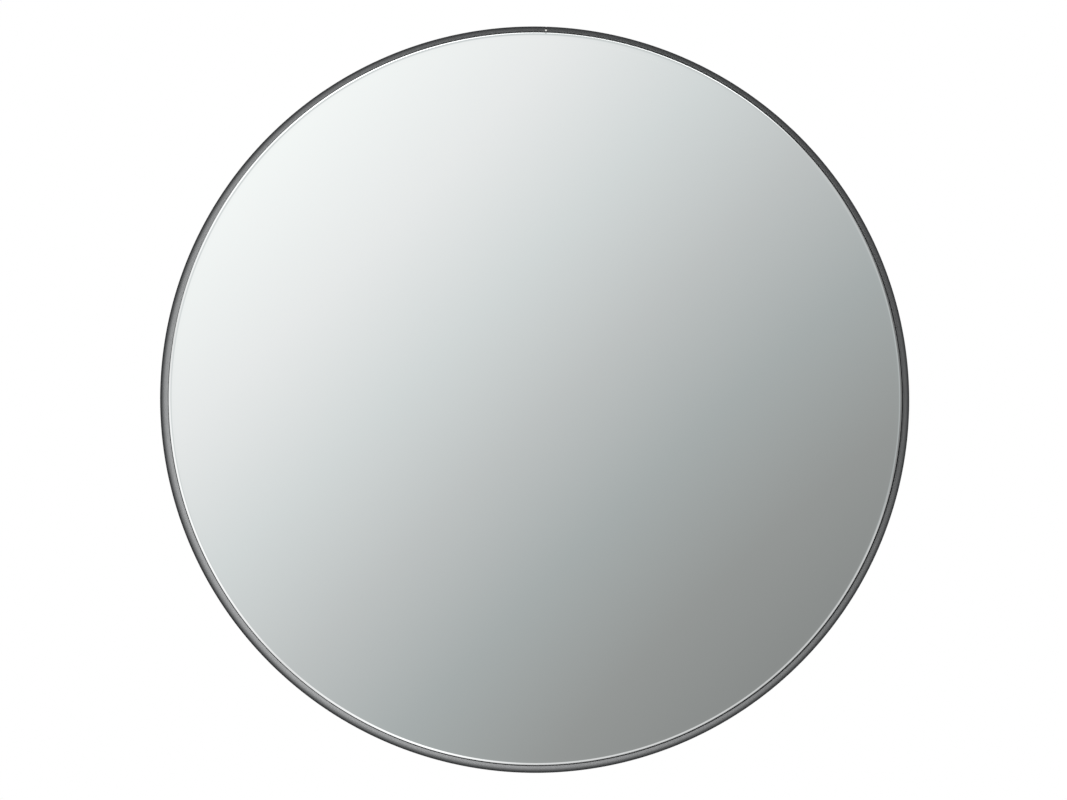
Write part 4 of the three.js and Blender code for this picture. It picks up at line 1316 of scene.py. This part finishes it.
def make_world():
    """A soft studio: bright high on the left, falling to grey low on the right, with tones of its
    own at the sides and overhead, dim behind the mirror and pale straight behind it."""
    world = bpy.data.worlds.new("studio")
    bpy.context.scene.world = world
    world.use_nodes = True
    tree = world.node_tree
    tree.nodes.clear()
    x, y, z = parts_of(tree, add(tree, "ShaderNodeTexCoord").outputs["Generated"])
    slope = maths(tree, "MULTIPLY", maths(tree, "SUBTRACT", x, z), sqrt(0.5))
    stops = [(0.5 + t / 2, tuple(linear(c) / MIRROR_SHARE for c in tone)) for t, tone in STUDIO_TONES]
    gradient = ramp(tree, share_of(tree, slope, -1.0, 1.0), [*stops, STUDIO_LAST_TONE])
    right, up = SIDE_LEAN
    lean = maths(tree, "ADD", maths(tree, "MULTIPLY", x, right), maths(tree, "MULTIPLY", z, up))
    sides = ramp(tree, share_of(tree, lean, -1.0, 1.0), SIDE_TONES)
    sides = blend(tree, share_of(tree, z, *OVERHEAD_START), sides, OVERHEAD_TONE)
    depth = share_of(tree, y, -1.0, 1.0)
    room = gradient
    for start, end, tone in ((*SIDES_START, sides), *BACK_TONES):
        room = blend(tree, ramp(tree, depth, [(start, 0.0), (end, 1.0)]), room, tone)
    path = add(tree, "ShaderNodeLightPath").outputs
    fill, seen, mirrored = (
        add(tree, "ShaderNodeBackground", {"Color": colour, "Strength": strength}).outputs[0]
        for colour, strength in (((1, 1, 1, 1), FILL), ((1, 1, 1, 1), 1.0), (room, 1.0))
    )
    matt = add(tree, "ShaderNodeMixShader", {0: path["Is Diffuse Ray"], 1: mirrored, 2: fill})
    both = add(tree, "ShaderNodeMixShader", {0: path["Is Camera Ray"], 1: matt.outputs[0], 2: seen})
    add(tree, "ShaderNodeOutputWorld", {"Surface": both.outputs[0]})


def make_lights():
    """Soft round lamps that the mirror doesn't show."""
    for name, place, size, power in LIGHTS:
        light = bpy.data.lights.new(name, "AREA")
        light.shape = "DISK"
        light.size = size
        light.energy = power
        lamp = bpy.data.objects.new(name, light)
        lamp.location = place
        lamp.rotation_mode = "QUATERNION"
        lamp.rotation_quaternion = (Vector((0, -0.2, 0)) - Vector(place)).to_track_quat("-Z", "Y")
        lamp.visible_glossy = False
        lamp.visible_camera = False
        bpy.context.scene.collection.objects.link(lamp)


def make_floor():
    """A pale round floor that fades out toward its edge."""
    section = [(0.0, 0.0), (FLOOR_RADIUS, 0.0), (FLOOR_RADIUS, -0.01), (0.0, -0.01)]
    floor = turned("floor", section, Vector((0, 0, -FLOOR_DROP)), "up", sides=96)
    material, tree, shader = new_finish("pale_floor", Roughness=0.9)
    where = object_place(tree)
    pale = two_tones(tree, noise(tree, where, 3.0, 5.0), (0.83, 0.83, 0.83), (0.86, 0.86, 0.86))
    distance = add(tree, "ShaderNodeVectorMath", {0: where}, operation="LENGTH").outputs["Value"]
    near, far = (share * FLOOR_RADIUS for share in FLOOR_FADE)
    shown = spread(tree, share_of(tree, distance, near, far), 1.0, 0.0)
    connect(tree, shader, Base_Color=pale, Alpha=shown)
    floor.data.materials.append(material)
    floor.visible_glossy = False


def make_camera():
    """The camera looks up a little at the head, from slightly to its left."""
    data = bpy.data.cameras.new("camera")
    data.lens = LENS_LENGTH
    camera = bpy.data.objects.new("camera", data)
    bpy.context.scene.collection.objects.link(camera)
    bpy.context.scene.camera = camera
    target = Vector((-AIM_LEFT, -rim_back, -AIM_DROP))
    toward = Vector((
        sin(CAMERA_AZIMUTH) * cos(CAMERA_ELEVATION),
        -cos(CAMERA_AZIMUTH) * cos(CAMERA_ELEVATION),
        sin(CAMERA_ELEVATION),
    ))
    camera.location = target + toward * CAMERA_DISTANCE
    camera.rotation_mode = "QUATERNION"
    camera.rotation_quaternion = (-toward).to_track_quat("-Z", "Y")


make_camera()
make_world()
make_lights()
make_floor()
make_lens()
make_rim()
make_rim_tongue()
make_rim_solder()
make_rim_splice()
make_shell()
make_hub()
make_stud()
make_liner()
make_socket()
make_lock_ring()
make_tubes()
make_pins()
make_collar()
make_clamp_knob()
make_pivot_knob()
make_pivot_hardware()
make_knuckle()
make_wall_bracket()
finish_hidden_nodes()
bpy.context.scene.view_settings.view_transform = "Standard"
